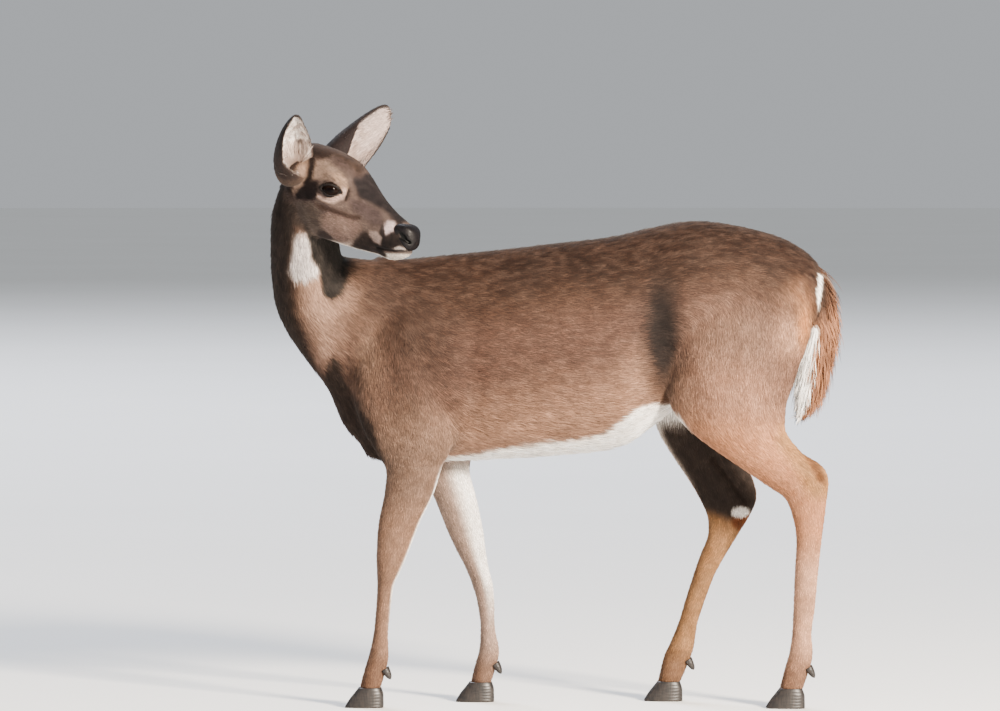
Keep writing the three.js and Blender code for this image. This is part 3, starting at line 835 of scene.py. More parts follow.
def patch(flat, outline, soft):
    """1 for points of a plane inside an outline in millimetres and 0 outside it, with a soft edge."""
    starts = np.asarray(outline, float)
    run = np.roll(starts, -1, 0) - starts
    across, up = flat[:, :1] * 1000, flat[:, 1:] * 1000
    straddles = (starts[:, 1] > up) != (starts[:, 1] + run[:, 1] > up)
    meets = starts[:, 0] + run[:, 0] * (up - starts[:, 1]) / (run[:, 1] + 1e-9)
    inside = (straddles & (across < meets)).sum(1) % 2 == 1
    away = line_distance(flat * 1000, [*starts, starts[0]])
    return ramp(-soft, soft, np.where(inside, away, -away))


def face_colour(local, normals, fine):
    """The head's colour: a brown ground, the marks of each side with their painted shade, and white under
    the jaw.
    """
    a, b, c = local.T
    flat = np.stack([a, c], 1) + 0.0016 * fine[:, None]
    face = np.tile(tone("#544640"), (len(a), 1))
    for hex_colour, share, soft, outline in FACE_MARKS:
        face = over(face, hex_colour, share * patch(flat, outline, soft))
    crest = ramp(0.030, 0.016, np.abs(b)) * ramp(0.2, 0.6, normals @ head_axes[2])
    face = over(face, "#33261f", 0.8 * crest * ramp(0.045, 0.02, a))
    below = ramp(0.82, 0.97, -(normals @ head_axes[2]))
    face = over(face, "#cfc6bb", below * ramp(0.02, 0.05, a))
    face = over(face, "#120d0c", np.exp(-(line_distance(flat, MOUTH) / 0.0026) ** 2))
    for side in (1, -1):
        u, v, w = eye_reach(local, side).T
        lids = np.hypot(u, v) / almond(np.arctan2(v, u))
        face = over(face, "#15100e", ramp(1.32, 1.12, lids) * (w > 0))
    return face


def neck_colour(colour, points, normals, neck):
    """The neck: dark on the nape's side, partly dark hair and partly painted shade, and tan on the throat's
    side, which winds round to the left with the turned head.
    """
    x, _, z = points.T
    throat_way = np.radians(np.interp(z, [0.50, 0.60, 0.69, 0.85, 0.95], [180, 232, 276, 292, 322]))
    throat = normals[:, 0] * np.cos(throat_way) + normals[:, 1] * np.sin(throat_way)
    neck_end = np.interp(z, [0.60, 0.68, 0.76, 0.82], [-0.430, -0.415, -0.405, -0.405])
    ahead = ramp(0.060, -0.020, x - neck_end)
    # painted shade over the darker nape hair, weaker where the neck faces right
    dark = ramp(0.90, 0.45, throat) * (1 - 0.6 * ramp(0.2, 0.7, normals[:, 1]))
    colour = over(colour, "#271f1b", neck * dark * np.maximum(ahead, ramp(0.58, 0.52, z)))
    return over(colour, "#957664", neck * ramp(0.62, 0.95, throat) * ramp(0.56, 0.66, z) * ahead)


def leg_colour(colour, points, fore, hind):
    """The legs: tan, browner down the front of the forelegs, redder behind, dark above the hooves, with
    painted shade in the hollow above each hock.
    """
    _, y, z = points.T
    lower = ramp(0.58, 0.48, z)
    colour = over(colour, "#6b5446", fore * lower)
    colour = over(colour, "#7a5d4b", fore * ramp(0.42, 0.32, z))
    colour = over(colour, "#957d6f", fore * lower * (y > 0))
    colour = over(colour, "#a77354", hind * lower)
    colour = over(colour, "#b3886e", hind * ramp(0.34, 0.24, z) * (y < 0))
    colour = over(colour, "#85603f", hind * ramp(0.42, 0.34, z) * (y > 0))
    for side, hollow in HOCK_HOLLOWS.items():
        tendon = line_distance(points[:, [0, 2]], hollow)
        colour = over(colour, "#8f6743", hind * (y * side > 0) * ramp(0.050, 0.020, tendon))
        # painted shade in the hollow between tendon and bone
        colour = over(colour, "#5b3a22", 0.8 * hind * (y * side > 0) * ramp(0.012, 0.004, tendon))
    return over(colour, "#5c4131", 0.7 * ramp(0.12, 0.05, z))


def white_hair(colour, points, normals, trunk, fore, hind, edge):
    """White under the body, inside the legs and on the scent tuft inside the right hock, and a painted
    shadow of the left thigh on the inner right hind leg.
    """
    x, y, z = points.T
    inward = -normals[:, 1] * np.sign(y)
    belly = trunk + hind * ramp(0.252, 0.235, x) * ramp(0.50, 0.54, z)
    belly *= ramp(0.007, -0.007, z - edge) * ramp(-0.31, -0.26, x)
    # painted shadow of the left thigh on the inner side of the right hind leg, above a slanting line
    painted_hock_shadow = ramp(0.0, 0.4, inward) * ramp(0.340, 0.362, z + 0.35 * (x - 0.30))
    colour = over(colour, "#2a211c", hind * (y > 0) * painted_hock_shadow)
    front_edge = ramp(0.5, 0.9, -normals[:, 0]) * ramp(-0.5, 0.1, inward)
    front_edge *= ramp(0.38, 0.44, z) * ramp(0.60, 0.54, z)
    colour = over(colour, "#cfc2b6", 0.8 * hind * front_edge)
    inner_thigh = ramp(0.05, 0.45, inward) * ramp(0.53, 0.58, z) * ramp(0.80, 0.70, z)
    seat = ramp(0.2, 0.6, normals[:, 0]) * ramp(0.055, 0.035, np.abs(y)) * ramp(0.52, 0.60, z)
    foreleg_back = ramp(-0.05, 0.45, 0.75 * inward + 0.65 * normals[:, 0]) * ramp(-0.2, 0.4, normals[:, 0])
    foreleg_back *= ramp(0.12, 0.25, z) * ramp(0.47, 0.42, z)
    white = np.maximum(np.maximum(belly, fore * foreleg_back), hind * np.maximum(inner_thigh, seat))
    colour = over(colour, "#f1ebe4", white)
    rusty = np.hypot((x - 0.352) / 0.024, (z - 0.338) / 0.020)
    pale = np.hypot((x - 0.346) / 0.018, (z - 0.354) / 0.010)
    colour = over(colour, "#6a3a1e", hind * (y > 0) * ramp(1.2, 0.7, rusty))
    return over(colour, "#f1ebe4", hind * (y > 0) * ramp(1.2, 0.8, pale))


def tail_colour(colour, points, normals, tail):
    """The tail: rust-brown above with dark streaks, white beneath."""
    streak = mottle(points * [1, 1, 0.12], 0.006, 5)
    brown = over(np.tile(tone("#7d553d"), (len(points), 1)), "#4d3325", ramp(0.5, 0.9, streak))
    colour = colour + (brown - colour) * tail[:, None]
    brown_from = np.interp(points[:, 2], [0.58, 0.64, 0.68, 0.72, 0.76], [0.10, -0.15, -0.40, 0.0, 0.60])
    return over(colour, "#f6f2ee", tail * ramp(0.15, -0.15, normals[:, 0] - brown_from))


def coat_colour(points, normals, member):
    """The coat's colour as sRGB numbers: a ground colour, then each mark laid over it, painted shade among
    them.
    """
    x, y, z = points.T
    trunk, neck, tail = member[:, TRUNK_PART], member[:, NECK_PART], member[:, TAIL_PART]
    fore, hind = member[:, FORELEGS].sum(1), member[:, HINDLEGS].sum(1)
    cloudy = mottle(points, 0.055, 1) - 0.5
    fine = mottle(points, 0.012, 2) - 0.5
    depth = np.interp(x, *np.transpose(BACK_LINE)) - z
    edge = np.interp(x, *np.transpose(BELLY_EDGE)) + 0.010 * fine + 0.010 * cloudy
    side = np.stack([x, z], 1)
    on_left = 1 - 0.6 * ramp(-0.02, 0.03, y)
    colour = np.tile(tone("#4d372d"), (len(points), 1))
    colour = over(colour, "#856552", ramp(0.16, 0.03, z - edge + 0.05 * cloudy))
    colour = over(colour, "#3a281e", ramp(0.17, 0.08, depth))
    for hex_colour, share, centre, radii in BODY_SPOTS:
        colour = over(colour, hex_colour, share * 1.4 * blob(side, centre, radii) * on_left)
    back = ramp(0.100, 0.030, depth + 0.03 * cloudy) * (x > -0.4) * (1 - 0.35 * ramp(-0.05, -0.20, x))
    colour = over(colour, "#2c1e17", back)
    colour = neck_colour(colour, points, normals, neck)
    colour = leg_colour(colour, points, fore, hind)
    colour = white_hair(colour, points, normals, trunk, fore, hind, edge)
    facing = ramp(0.2, -0.2, normals[:, 1])
    for hex_colour, fray, soft, outline, where in (
        # painted shade on the front of the breast
        ("#2b211c", 0.006, 8, BREAST_PAINTED_SHADE, on_left),
        ("#bfb6b3", 0.008, 7, THROAT_WHITE, neck * facing),
        # painted shadow of the jaw on the neck
        ("#1d1916", 0.003, 4, JAW_PAINTED_SHADOW, facing),
    ):
        colour = over(colour, hex_colour, where * patch(side + fray * fine[:, None], outline, soft))
    colour = tail_colour(colour, points, normals, tail)
    colour = over(colour, "#f1ebe4", patch(side, TAIL_EDGE, 2))
    on_head = member[:, HEAD_PART] > 0
    face = face_colour(to_head(points[on_head]), normals[on_head], fine[on_head])
    colour[on_head] += (face - colour[on_head]) * member[on_head, HEAD_PART][:, None]
    grain = mottle(points * [0.45, 1, 0.8], 0.0055, 9) - 0.5
    grain *= (0.085 + 0.06 * ramp(0.16, 0.04, depth) * trunk) * (1 - tail)
    clouds = 1 + 0.10 * cloudy + 0.14 * fine
    return np.clip(colour * clouds[:, None] + grain[:, None] * [1.0, 0.92, 0.86], 0, 1)


def store_colour(made, name, colour):
    """A colour at every vertex, from sRGB numbers."""
    value = np.append(linear(colour), np.ones((len(colour), 1)), 1)
    layer = made.data.color_attributes.new(name, "FLOAT_COLOR", "POINT")
    layer.data.foreach_set("color", value.astype(np.float32).ravel())


def coat_material(name, roughness, sheen, grain, strength):
    """Hair or haired hide: its own colour with a fine mottling, a soft sheen and bump like strands."""
    made, tree, shader, where = new_material(name)
    colour = add_node(tree, "Attribute", {}, attribute_name="coat_colour").outputs["Color"]
    speck = add_node(tree, "TexNoise", {"Vector": where, "Scale": grain, "Detail": 3})
    level = add_node(tree, "MapRange", {"Value": speck.outputs["Fac"], 1: 0.3, 2: 0.7, 3: 0.86, 4: 1.12})
    shaded = add_node(tree, "VectorMath", {0: colour, 3: level.outputs["Result"]}, operation="SCALE")
    strands = add_node(tree, "TexNoise", {"Vector": where, "Scale": 900, "Detail": 2}).outputs["Fac"]
    bump = add_node(tree, "Bump", {"Height": strands, "Strength": strength, "Distance": 0.0006})
    fill(tree, shader, {
        "Base Color": shaded.outputs["Vector"],
        "Normal": bump.outputs["Normal"],
        "Roughness": roughness,
        "Specular IOR Level": 0.12,
        "Sheen Weight": sheen,
        "Sheen Roughness": 0.45,
    })
    return made


hide = coat_material("haired hide", 0.80, 0.02, 260, 0.5)
# The hide is painted darker than the hair, as the shade that lies under the coat.
HIDE_SHADE = 0.72  # the skin under the hair is darker than the hair
store_colour(skin, "coat_colour", coat_colour(points, normals, member) * HIDE_SHADE)
skin.data.materials.append(hide)
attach(skin, "root")
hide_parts("trunk", "neck", "head", "foreleg_left", "foreleg_right", "hindleg_left", "hindleg_right")

# Ears: thin cups of gristle under short hair, white inside and dark on their rims and backs; the backs'
# darkness is partly painted shade.
EAR_LENGTH = 0.172
EAR_WIDTH = 0.097
EAR_SHELL = 0.0034
EAR_COAT = 0.0014
ROOT_DEPTH, TIP_DEPTH = 0.041, 0.020
ROOT_ROLL, TIP_ROLL = 163, 97


def ear_shell(root, axes, sway, rows=72, across=36):
    """A leaf rolled into a cup: rings of an outer arc and an inner arc back, with height and width.

    Half width and depth follow the leaf's outline, and the roll opens from the root to the tip.
    """
    t = 1 - (1 - np.linspace(0, 1, rows)[:, None]) ** 1.6
    leaf = np.maximum(np.sin(np.pi * np.minimum(1, 0.17 + 0.83 * t) ** 0.95), 0)
    half = EAR_WIDTH / 2 * np.maximum(leaf ** 0.3, 0.07) - EAR_COAT * leaf ** 0.5
    deep = ROOT_DEPTH + (TIP_DEPTH - ROOT_DEPTH) * t ** 0.8
    depth = deep * np.maximum(leaf ** 0.5, 0.12) - EAR_COAT * leaf ** 0.5
    roll = np.radians(ROOT_ROLL + (TIP_ROLL - ROOT_ROLL) * np.minimum(1, t * 1.9))
    thick = np.minimum(EAR_SHELL, np.minimum(half, depth) * 0.6)
    hollow = 0.06 + 0.94 * ramp(0.0, 0.24, t)
    s = np.linspace(-1, 1, across)[None, :]
    outer = np.stack([-depth * np.cos(roll * s), half * np.sin(roll * s)], 2)
    fold = 0.0016 * np.sin(3 * np.pi * np.abs(s)) * np.sin(np.pi * t) ** 2
    turn = roll * s * 0.96
    inner = np.stack([-(depth - thick + fold) * np.cos(turn), (half - thick) * np.sin(turn)], 2)
    inner *= hollow[:, :, None]
    ring = np.concatenate([outer, inner[:, ::-1]], 1)
    height = np.broadcast_to(t * EAR_LENGTH, ring.shape[:2])
    local = np.stack([ring[:, :, 0] + 0.004 * t * t, ring[:, :, 1] + sway * t * t, height], 2)
    return from_head(root + local @ axes), t, s


# The two linings differ by painted light and shade: the right ear's, which lies in shade, is painted paler,
# the left ear's, in strong light, darker.
EAR_LINING_AND_PAINTED_LIGHT = {"ear_left": "#a59590", "ear_right": "#f3e6df"}  # the left one shows more skin
# The backs are painted near black, darker than their grey-brown hair, as shade.
EAR_BACK_AND_PAINTED_SHADE = {"ear_left": "#211a1a", "ear_right": "#2e2421"}
EAR_BASE = {"ear_left": "#211a1a", "ear_right": "#4a3b33"}


def ear_colour(t, s, inside, points, ear_name):
    """Pale inside with grey folds towards the base, dark outside, darkest at the rim and tip. The backs are
    painted darker than their hair as shade, and the two linings differ by painted light and shade.
    """
    spot = mottle(points, 0.009, 11)
    back = np.tile(tone(EAR_BACK_AND_PAINTED_SHADE[ear_name]), (len(points), 1))
    back = over(back, EAR_BASE[ear_name], ramp(0.22, 0.10, t))
    back = over(back, "#1f1816", ramp(0.45, 0.85, t) * 0.8)
    lining = np.tile(tone(EAR_LINING_AND_PAINTED_LIGHT[ear_name]), (len(points), 1))
    lining = over(lining, "#6d5a50", 0.45 * ramp(0.45, 0.75, spot) * ramp(0.9, 0.5, t))
    lining = over(lining, "#5d4a40", 0.7 * ramp(0.25, 0.05, t))
    lining = over(lining, "#2f2521", ramp(0.95, 1.0, np.abs(s)) * 0.8 * ramp(0.55, 0.85, t))
    lining = over(lining, "#2f2521", ramp(0.94, 0.99, t) * 0.9)
    return np.where(inside[:, None], lining, back)


# The ears' hide is painted darker than their hair, as the shade that lies under the coat.
EAR_HIDE_SHADE = 0.80  # the skin under the hair is darker than the hair
ears = {}
for name, (root, axes, sway) in EARS.items():
    rings, t, s = ear_shell(root, axes, sway)
    shell_points, shell_triangles = closed(rings)
    ear = piece(name + "_shell", shell_points, shell_triangles)
    rows, total = rings.shape[:2]
    height = np.append(np.repeat(t[:, 0], total), [0, 1])
    width = np.append(np.tile(np.concatenate([s[0], s[0, ::-1]]), rows), [0, 0])
    inside = np.append(np.tile(np.arange(total) >= total // 2, rows), [False, False])
    rim_run = np.gradient(rings, axis=0).reshape(-1, 3)
    run = np.concatenate([rim_run, rim_run[:2]])
    ear_hide = ear_colour(height, width, inside, shell_points, name)
    store_colour(ear, "coat_colour", ear_hide * EAR_HIDE_SHADE)
    ear.data.materials.append(hide)
    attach(ear, "root")
    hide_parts(name)
    ears[name] = (ear, shell_points, shell_triangles, height, width, inside, run)

# Eyes: dark glossy balls with a clear bulging front, a deep brown iris and a level oval pupil,
# set under black lid rims that run to a point at the tear duct.
PUPIL = (0.0070, 0.0046)
IRIS = 0.0120
CORNER_DEPTH = 0.0085


def hoop(path, outward, radius):
    """A tube round a closed path: a small circle across the path at each stop."""
    sides = 12
    run = unit(np.roll(path, -1, 0) - np.roll(path, 1, 0))
    across = unit(np.cross(run, outward))
    rise = np.cross(across, run)
    turn = turns(sides)
    circle = across[:, None] * np.cos(turn) + rise[:, None] * np.sin(turn)
    points = (path[:, None] + radius[:, None, None] * circle).reshape(-1, 3)
    count = len(path)
    k, j = np.meshgrid(np.arange(count), np.arange(sides), indexing="ij")
    k, j, ahead, beside = (v.ravel() for v in (k, j, (k + 1) % count, (j + 1) % sides))
    a, b = k * sides + j, k * sides + beside
    c, d = ahead * sides + beside, ahead * sides + j
    triangles = np.concatenate([np.stack([a, b, c], 1), np.stack([a, c, d], 1)])
    corner = points[triangles]
    centre = np.repeat(path, sides, 0)[triangles[:, 0]]
    facing = np.cross(corner[:, 1] - corner[:, 0], corner[:, 2] - corner[:, 0])
    outwards = (facing * (corner.mean(1) - centre)).sum()
    return points, (triangles if outwards > 0 else triangles[:, ::-1])


eye_glass, tree, shader, where = new_material("wet eyeball")
painted = add_node(tree, "Attribute", {}, attribute_name="eye_colour").outputs["Color"]
fleck = add_node(tree, "TexNoise", {"Vector": where, "Scale": 1400, "Detail": 2})
level = add_node(tree, "MapRange", {"Value": fleck.outputs["Fac"], 1: 0.3, 2: 0.7, 3: 0.8, 4: 1.2})
shaded = add_node(tree, "VectorMath", {0: painted, 3: level.outputs["Result"]}, operation="SCALE")
fill(tree, shader, {"Base Color": shaded.outputs["Vector"], "Roughness": 0.08, "IOR": 1.12})

lid_skin, tree, shader, where = new_material("bare dark lid skin")
pores = add_node(tree, "TexNoise", {"Vector": where, "Scale": 1100, "Detail": 3}).outputs["Fac"]
shades = add_node(tree, "ValToRGB", {"Fac": pores})
shades.color_ramp.elements[0].color = (*linear("#080605"), 1)
shades.color_ramp.elements[1].color = (*linear("#140f0d"), 1)
bump = add_node(tree, "Bump", {"Height": pores, "Strength": 0.4, "Distance": 0.0003})
fill(tree, shader, {
    "Base Color": shades.outputs["Color"],
    "Normal": bump.outputs["Normal"],
    "Roughness": 0.65,
    "Specular IOR Level": 0.15,
})

for name, side in (("eye_left", 1), ("eye_right", -1)):
    centre, fore, up, look = eye_frame(side)
    polar = np.linspace(0.02, np.pi - 0.1, 72)[:, None, None]
    turn = turns(72)
    radius = EYE_RADIUS + 0.0010 * np.exp(-(polar / 0.60) ** 4)
    aside = fore * np.cos(turn) + up * np.sin(turn)
    local = centre + radius * (look * np.cos(polar) + np.sin(polar) * aside)
    ball_points, ball_triangles = closed(from_head(local))
    ball = piece(name + "_ball", ball_points, ball_triangles)
    u, v, w = eye_reach(to_head(ball_points), side).T
    eye = np.tile(tone("#120d0b"), (len(u), 1))
    eye = over(eye, "#0d0705", ramp(IRIS + 0.0010, IRIS - 0.0006, np.hypot(u, v)) * (w > 0))
    eye = over(eye, "#050303", ramp(1.10, 0.92, np.hypot(u / PUPIL[0], v / PUPIL[1])) * (w > 0))
    store_colour(ball, "eye_colour", eye)
    ball.data.materials.append(eye_glass)
    angle = turns(120).ravel()
    u, v = almond(angle) * np.cos(angle), almond(angle) * np.sin(angle)
    w = np.sqrt(np.maximum((EYE_RADIUS + 0.0007) ** 2 - u ** 2 - v ** 2, CORNER_DEPTH ** 2))
    path = u[:, None] * fore + v[:, None] * up + w[:, None] * look
    thick = 0.0013 + 0.0005 * ramp(-0.2, 0.7, np.sin(angle))
    rim_points, rim_triangles = hoop(from_head(centre + path), unit(path) @ head_axes, thick)
    rim = piece(name + "_rims", rim_points, rim_triangles)
    rim.data.materials.append(lid_skin)
    for made in (ball, rim):
        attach(made, "root")
    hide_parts(name)

# Nose: a bare black pad, always wet, with a pebbled skin, two comma-shaped nostrils and a
# groove down its middle to the lip.
NOSE = [
    # front, height, half width, depth back, in millimetres of the head's measures
    [168.0, 8.6, 13.0, 6],
    [173.0, 6.6, 20.0, 13],
    [178.5, 3.0, 23.5, 20],
    [183.0, -4.0, 25.4, 27],
    [186.0, -13.0, 25.4, 29],
    [186.8, -21.0, 23.5, 20],
    [185.5, -27.0, 20.0, 13],
    [183.0, -31.0, 15.0, 9],
    [178.0, -33.5, 8.0, 5],
]
NOSTRIL = [(0.0190, -0.0165), (0.0235, -0.0150), (0.0262, -0.0090)]
rows = np.asarray(NOSE) / 1000
PAD_ROWS, PAD_STOPS = 110, 180
t = np.linspace(0, len(rows) - 1, PAD_ROWS)
front, level, half, back = between(rows, t).T[:, :, None]
turn = np.linspace(-np.pi, np.pi, PAD_STOPS, endpoint=False)[None, :]
bulge = np.sign(np.sin(turn)) * np.abs(np.sin(turn)) ** 0.85
height = np.broadcast_to(level, (PAD_ROWS, PAD_STOPS))
local = np.stack([front - back * (1 - np.cos(turn)), half * bulge, height], 2)
facing = unit(np.cross(np.gradient(local, axis=1), np.gradient(local, axis=0)))
facing *= np.sign(facing[PAD_ROWS // 2, PAD_STOPS // 2, 0])
slit = line_distance(one_sided(local.reshape(-1, 3))[:, 1:], NOSTRIL).reshape(PAD_ROWS, PAD_STOPS)
ahead = ramp(-0.35, 0.15, np.cos(turn))
pit = np.exp(-(slit / 0.0026) ** 4) * ahead
wing = np.exp(-((slit - 0.0068) / 0.0024) ** 2) * ahead
groove = np.exp(-(local[:, :, 1] / 0.0009) ** 2) * ramp(-0.012, -0.020, local[:, :, 2]) * ahead
local = local + facing * (0.0005 * wing - 0.0045 * pit - 0.0012 * groove)[:, :, None]
nose = piece("nose_pad", *closed(from_head(local)))
shadow = np.append((np.exp(-(slit / 0.0050) ** 4) * ahead + 0.4 * groove).ravel(), [0, 0])
store_colour(nose, "nose_colour", over(np.tile(tone("#0c090b"), (len(shadow), 1)), "#010101", shadow))
leather, tree, shader, where = new_material("wet nose skin")
painted = add_node(tree, "Attribute", {}, attribute_name="nose_colour").outputs["Color"]
pebbled = add_node(tree, "TexVoronoi", {"Vector": where, "Scale": 620}, feature="SMOOTH_F1")
pebbles = pebbled.outputs["Distance"]
level = add_node(tree, "MapRange", {"Value": pebbles, 1: 0.0, 2: 0.7, 3: 1.25, 4: 0.7})
shaded = add_node(tree, "VectorMath", {0: painted, 3: level.outputs["Result"]}, operation="SCALE")
bump = add_node(tree, "Bump", {"Height": pebbles, "Strength": 0.8, "Distance": 0.0006}, invert=True)
fill(tree, shader, {
    "Base Color": shaded.outputs["Vector"],
    "Normal": bump.outputs["Normal"],
    "Roughness": 0.50,
    "Specular IOR Level": 0.12,
    "Coat Weight": 0.05,
    "Coat Roughness": 0.22,
})
nose.data.materials.append(leather)
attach(nose, "root")

# Hooves and dewclaws: two horn claws under each leg and two small points behind the pastern,
# dark and streaked from top to toe, with faint growth rings.
CLAW_SPREAD = 13.2
CLAW = [
    [-47, 0, 24, 0, 0, 12.2, -0.3],
    [-45.5, 3, 24.8, 3, 0, 12.3, -0.28],
    [-38, 15, 24.6, 15, 0, 12.0, -0.22],
    [-30, 25, 24, 25, 0, 11.7, -0.18],
    [-21, 36.5, 20, 36.5, 0, 11.0, -0.1],
]
DEWCLAW_TIP = np.array([0.5, 0, -0.866])
DEWCLAW_LENGTH = 0.022
DEWCLAW_GIRTH = 0.0075
DEWCLAW_AT = np.array([-1.5, 11, 9.5])  # from the back of the pastern, outwards and up
SIDEWAYS = np.array([0, 1.0, 0])
horn, tree, shader, where = new_material("hoof horn")
drawn = add_node(tree, "Mapping", {"Vector": where, "Scale": (1, 1, 0.16)})
streaks = add_node(tree, "TexNoise", {"Vector": drawn.outputs["Vector"], "Scale": 420, "Detail": 4})
shades = add_node(tree, "ValToRGB", {"Fac": streaks.outputs["Fac"]})
shades.color_ramp.elements[0].position = 0.35
shades.color_ramp.elements[0].color = (*linear("#0e0c0b"), 1)
shades.color_ramp.elements[1].position = 0.75
shades.color_ramp.elements[1].color = (*linear("#2a231f"), 1)
rings = {"Vector": where, "Scale": 55, "Distortion": 2.5, "Detail": 2}
ringed = add_node(tree, "TexWave", rings, bands_direction="Z")
bump = add_node(tree, "Bump", {"Height": ringed.outputs["Fac"], "Strength": 0.35, "Distance": 0.0005})
fill(tree, shader, {
    "Base Color": shades.outputs["Color"],
    "Normal": bump.outputs["Normal"],
    "Roughness": 0.42,
})


def dewclaw(start):
    """A blunt horn point: circles round a straight line, narrowing to its tip."""
    rise = np.linspace(0, 1, 16)[:, None, None]
    turn = turns(24)
    girth = DEWCLAW_GIRTH * np.sqrt(np.clip(1 - rise ** 1.7, 0.01, 1))
    circle = np.cos(turn) * SIDEWAYS + np.sin(turn) * np.cross(SIDEWAYS, DEWCLAW_TIP)
    return closed(start + rise * DEWCLAW_LENGTH * DEWCLAW_TIP + girth * circle)


LEGS = {
    "foreleg_left": FORELEG_LEFT,
    "foreleg_right": FORELEG_RIGHT,
    "hindleg_left": HINDLEG_LEFT,
    "hindleg_right": HINDLEG_RIGHT,
}
for leg, leg_rows in LEGS.items():
    x1, _, x2, _, y, _, _ = leg_rows[-1]
    _, _, back_x, back_z, _, _, _ = leg_rows[-2]
    for claws, side in (("inner", -np.sign(y)), ("outer", np.sign(y))):
        shape = Sections(CLAW, 6, 0.0).rings(40)
        shape[:, :, 1] += side * 0.0015 * ramp(-0.010, -0.045, shape[:, :, 0])
        foot = np.array([(x1 + x2) / 2, y + side * CLAW_SPREAD, 0]) / 1000
        hoof = piece(f"horn_{leg}_{claws}", *closed(shape + foot))
        start = (np.array([back_x, y, back_z]) + DEWCLAW_AT * [1, side, 1]) / 1000
        point = piece(f"spur_{leg}_{claws}", *dewclaw(start))
        for made, stands_for in ((hoof, f"hoof_{leg}_{claws}"), (point, f"dewclaw_{leg}_{claws}")):
            made.data.materials.append(horn)
            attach(made, "root")
            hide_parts(stands_for)

# Coat: every tuft is one closed spike that lies along the hide, with a wide root, a raised ridge
# and a fine tip. Hair is dark at the root, lighter along its length and dark or pale at the tip.
THINNING = 1.0
guard_hair = coat_material("winter guard hair", 0.70, 0.03, 420, 0.15)


def scatter(points, triangles, spacing, seed):
    """Roots spread evenly over a surface, as triangle numbers and shares of their corners.

    Triangles are drawn by their area with a random place inside each, and one root is kept in each
    cell of a cubic grid as wide as the spacing.
    """
    random = np.random.default_rng(seed)
    corner = points[triangles]
    area = np.linalg.norm(np.cross(corner[:, 1] - corner[:, 0], corner[:, 2] - corner[:, 0]), axis=1) / 2
    chance = np.cumsum(area)
    drawn = int(5 * chance[-1] / spacing ** 2)
    face = np.searchsorted(chance, random.random(drawn) * chance[-1])
    u, v = random.random((2, drawn))
    u, v = np.where(u + v > 1, 1 - u, u), np.where(u + v > 1, 1 - v, v)
    share = np.stack([1 - u - v, u, v], 1)
    cell = np.floor((corner[face] * share[:, :, None]).sum(1) / spacing).astype(np.int64)
    _, kept = np.unique((cell - cell.min(0)) @ [4096 ** 2, 4096, 1], return_index=True)
    return face[kept], share[kept]


def sown(points, normals, chosen, spacing, seed):
    """Tuft roots on chosen triangles: a reader of values there, the roots and their normals."""
    face, share = scatter(points, chosen, spacing * THINNING, seed)
    corners = chosen[face]

    def at_roots(values):
        return np.einsum("ij...,ij->i...", values[corners], share)

    return at_roots, at_roots(points), unit(at_roots(normals))


def varied(random, sizes, spread, low, high, count):
    """Sizes made larger or smaller at random, within limits, as a column."""
    return (sizes * np.clip(random.normal(1, spread, count), low, high))[:, None]


def turned(lie, normal, spread, random):
    """Hair directions flat on the surface, each turned at random, and the directions across them."""
    flat = along_surface(lie, normal)
    turn = random.normal(0, spread, len(lie))[:, None]
    way = flat * np.cos(turn) + np.cross(normal, flat) * np.sin(turn)
    return way, np.cross(normal, way)


def coat(name, points, faces, uv, colours, shades, normals, slot):
    """A coat piece of tufts, from one row of points for each and the faces of one tuft.

    It has colours and soft normals at the points, and each tuft's own small patch of the unwrap.
    """
    count, each = points.shape[:2]
    triangles = (faces[None] + each * np.arange(count)[:, None, None]).reshape(-1, 3)
    made = piece(name, points.reshape(-1, 3), triangles)
    store_colour(made, "coat_colour", np.clip(colours[:, None] * shades[:, :, None], 0, 1).reshape(-1, 3))
    layer = made.data.uv_layers.new(name="OFBake")
    layer.data.foreach_set("uv", uv.reshape(-1, 2)[triangles.ravel()].astype(np.float32).ravel())
    soft = made.data.attributes.new("custom_normal", "FLOAT_VECTOR", "POINT")
    soft.data.foreach_set("vector", unit(normals).astype(np.float32).ravel())
    made.data.update()
    made.data.materials.append(guard_hair)
    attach(made, "root")
    return made


PALE = 0.68  # hair whose dimmest channel is brighter than this is white from root to tip
SPIKE = np.array([[0, 3, 2], [1, 2, 3], [0, 2, 1], [0, 1, 3]])
ROOT_DEEP = 0.0006
SPIKE_PATCH = np.array([[-0.0015, 0], [0.0015, 0], [0, 0.0012], [0, 0.003]])


def spikes(name, root, normal, lie, length, width, lift, spread, colour, unwrap, seed, slot):
    """Short tufts: two points at the root, a raised ridge point and a tip."""
    random = np.random.default_rng(seed)
    count = len(root)
    way, aside = turned(lie, normal, spread, random)
    long = varied(random, length, 0.25, 0.5, 1.6, count)
    wide = varied(random, width, 0.2, 0.6, 1.5, count)
    up = varied(random, lift, 0.5, 0.2, 2.4, count)
    base = root - normal * ROOT_DEEP
    points = np.stack([
        base - aside * wide / 2,
        base + aside * wide / 2,
        root + way * long * 0.4 + normal * (up * long * 0.55 + wide * 0.25),
        root + way * long + normal * up * long,
    ], 1)
    tilt = random.normal(0, 0.07, (count, 3))
    left, right = normal - 0.25 * aside, normal + 0.25 * aside
    normals = np.stack([left, right, normal + tilt, normal + 0.2 * way + tilt], 1)
    light = 1 + random.normal(0, 0.09, count)
    tip = np.where(random.random(count) < 0.3, 0.80, 1.08)
    pale = colour.min(1) > PALE
    tip = np.where(pale, 1.02, tip)
    base_shade = np.where(pale, 0.94, 0.78) * light
    shades = np.stack([base_shade, base_shade, light, light * tip], 1)
    return coat(name, points, SPIKE, unwrap[:, None] + SPIKE_PATCH, colour, shades, normals, slot)


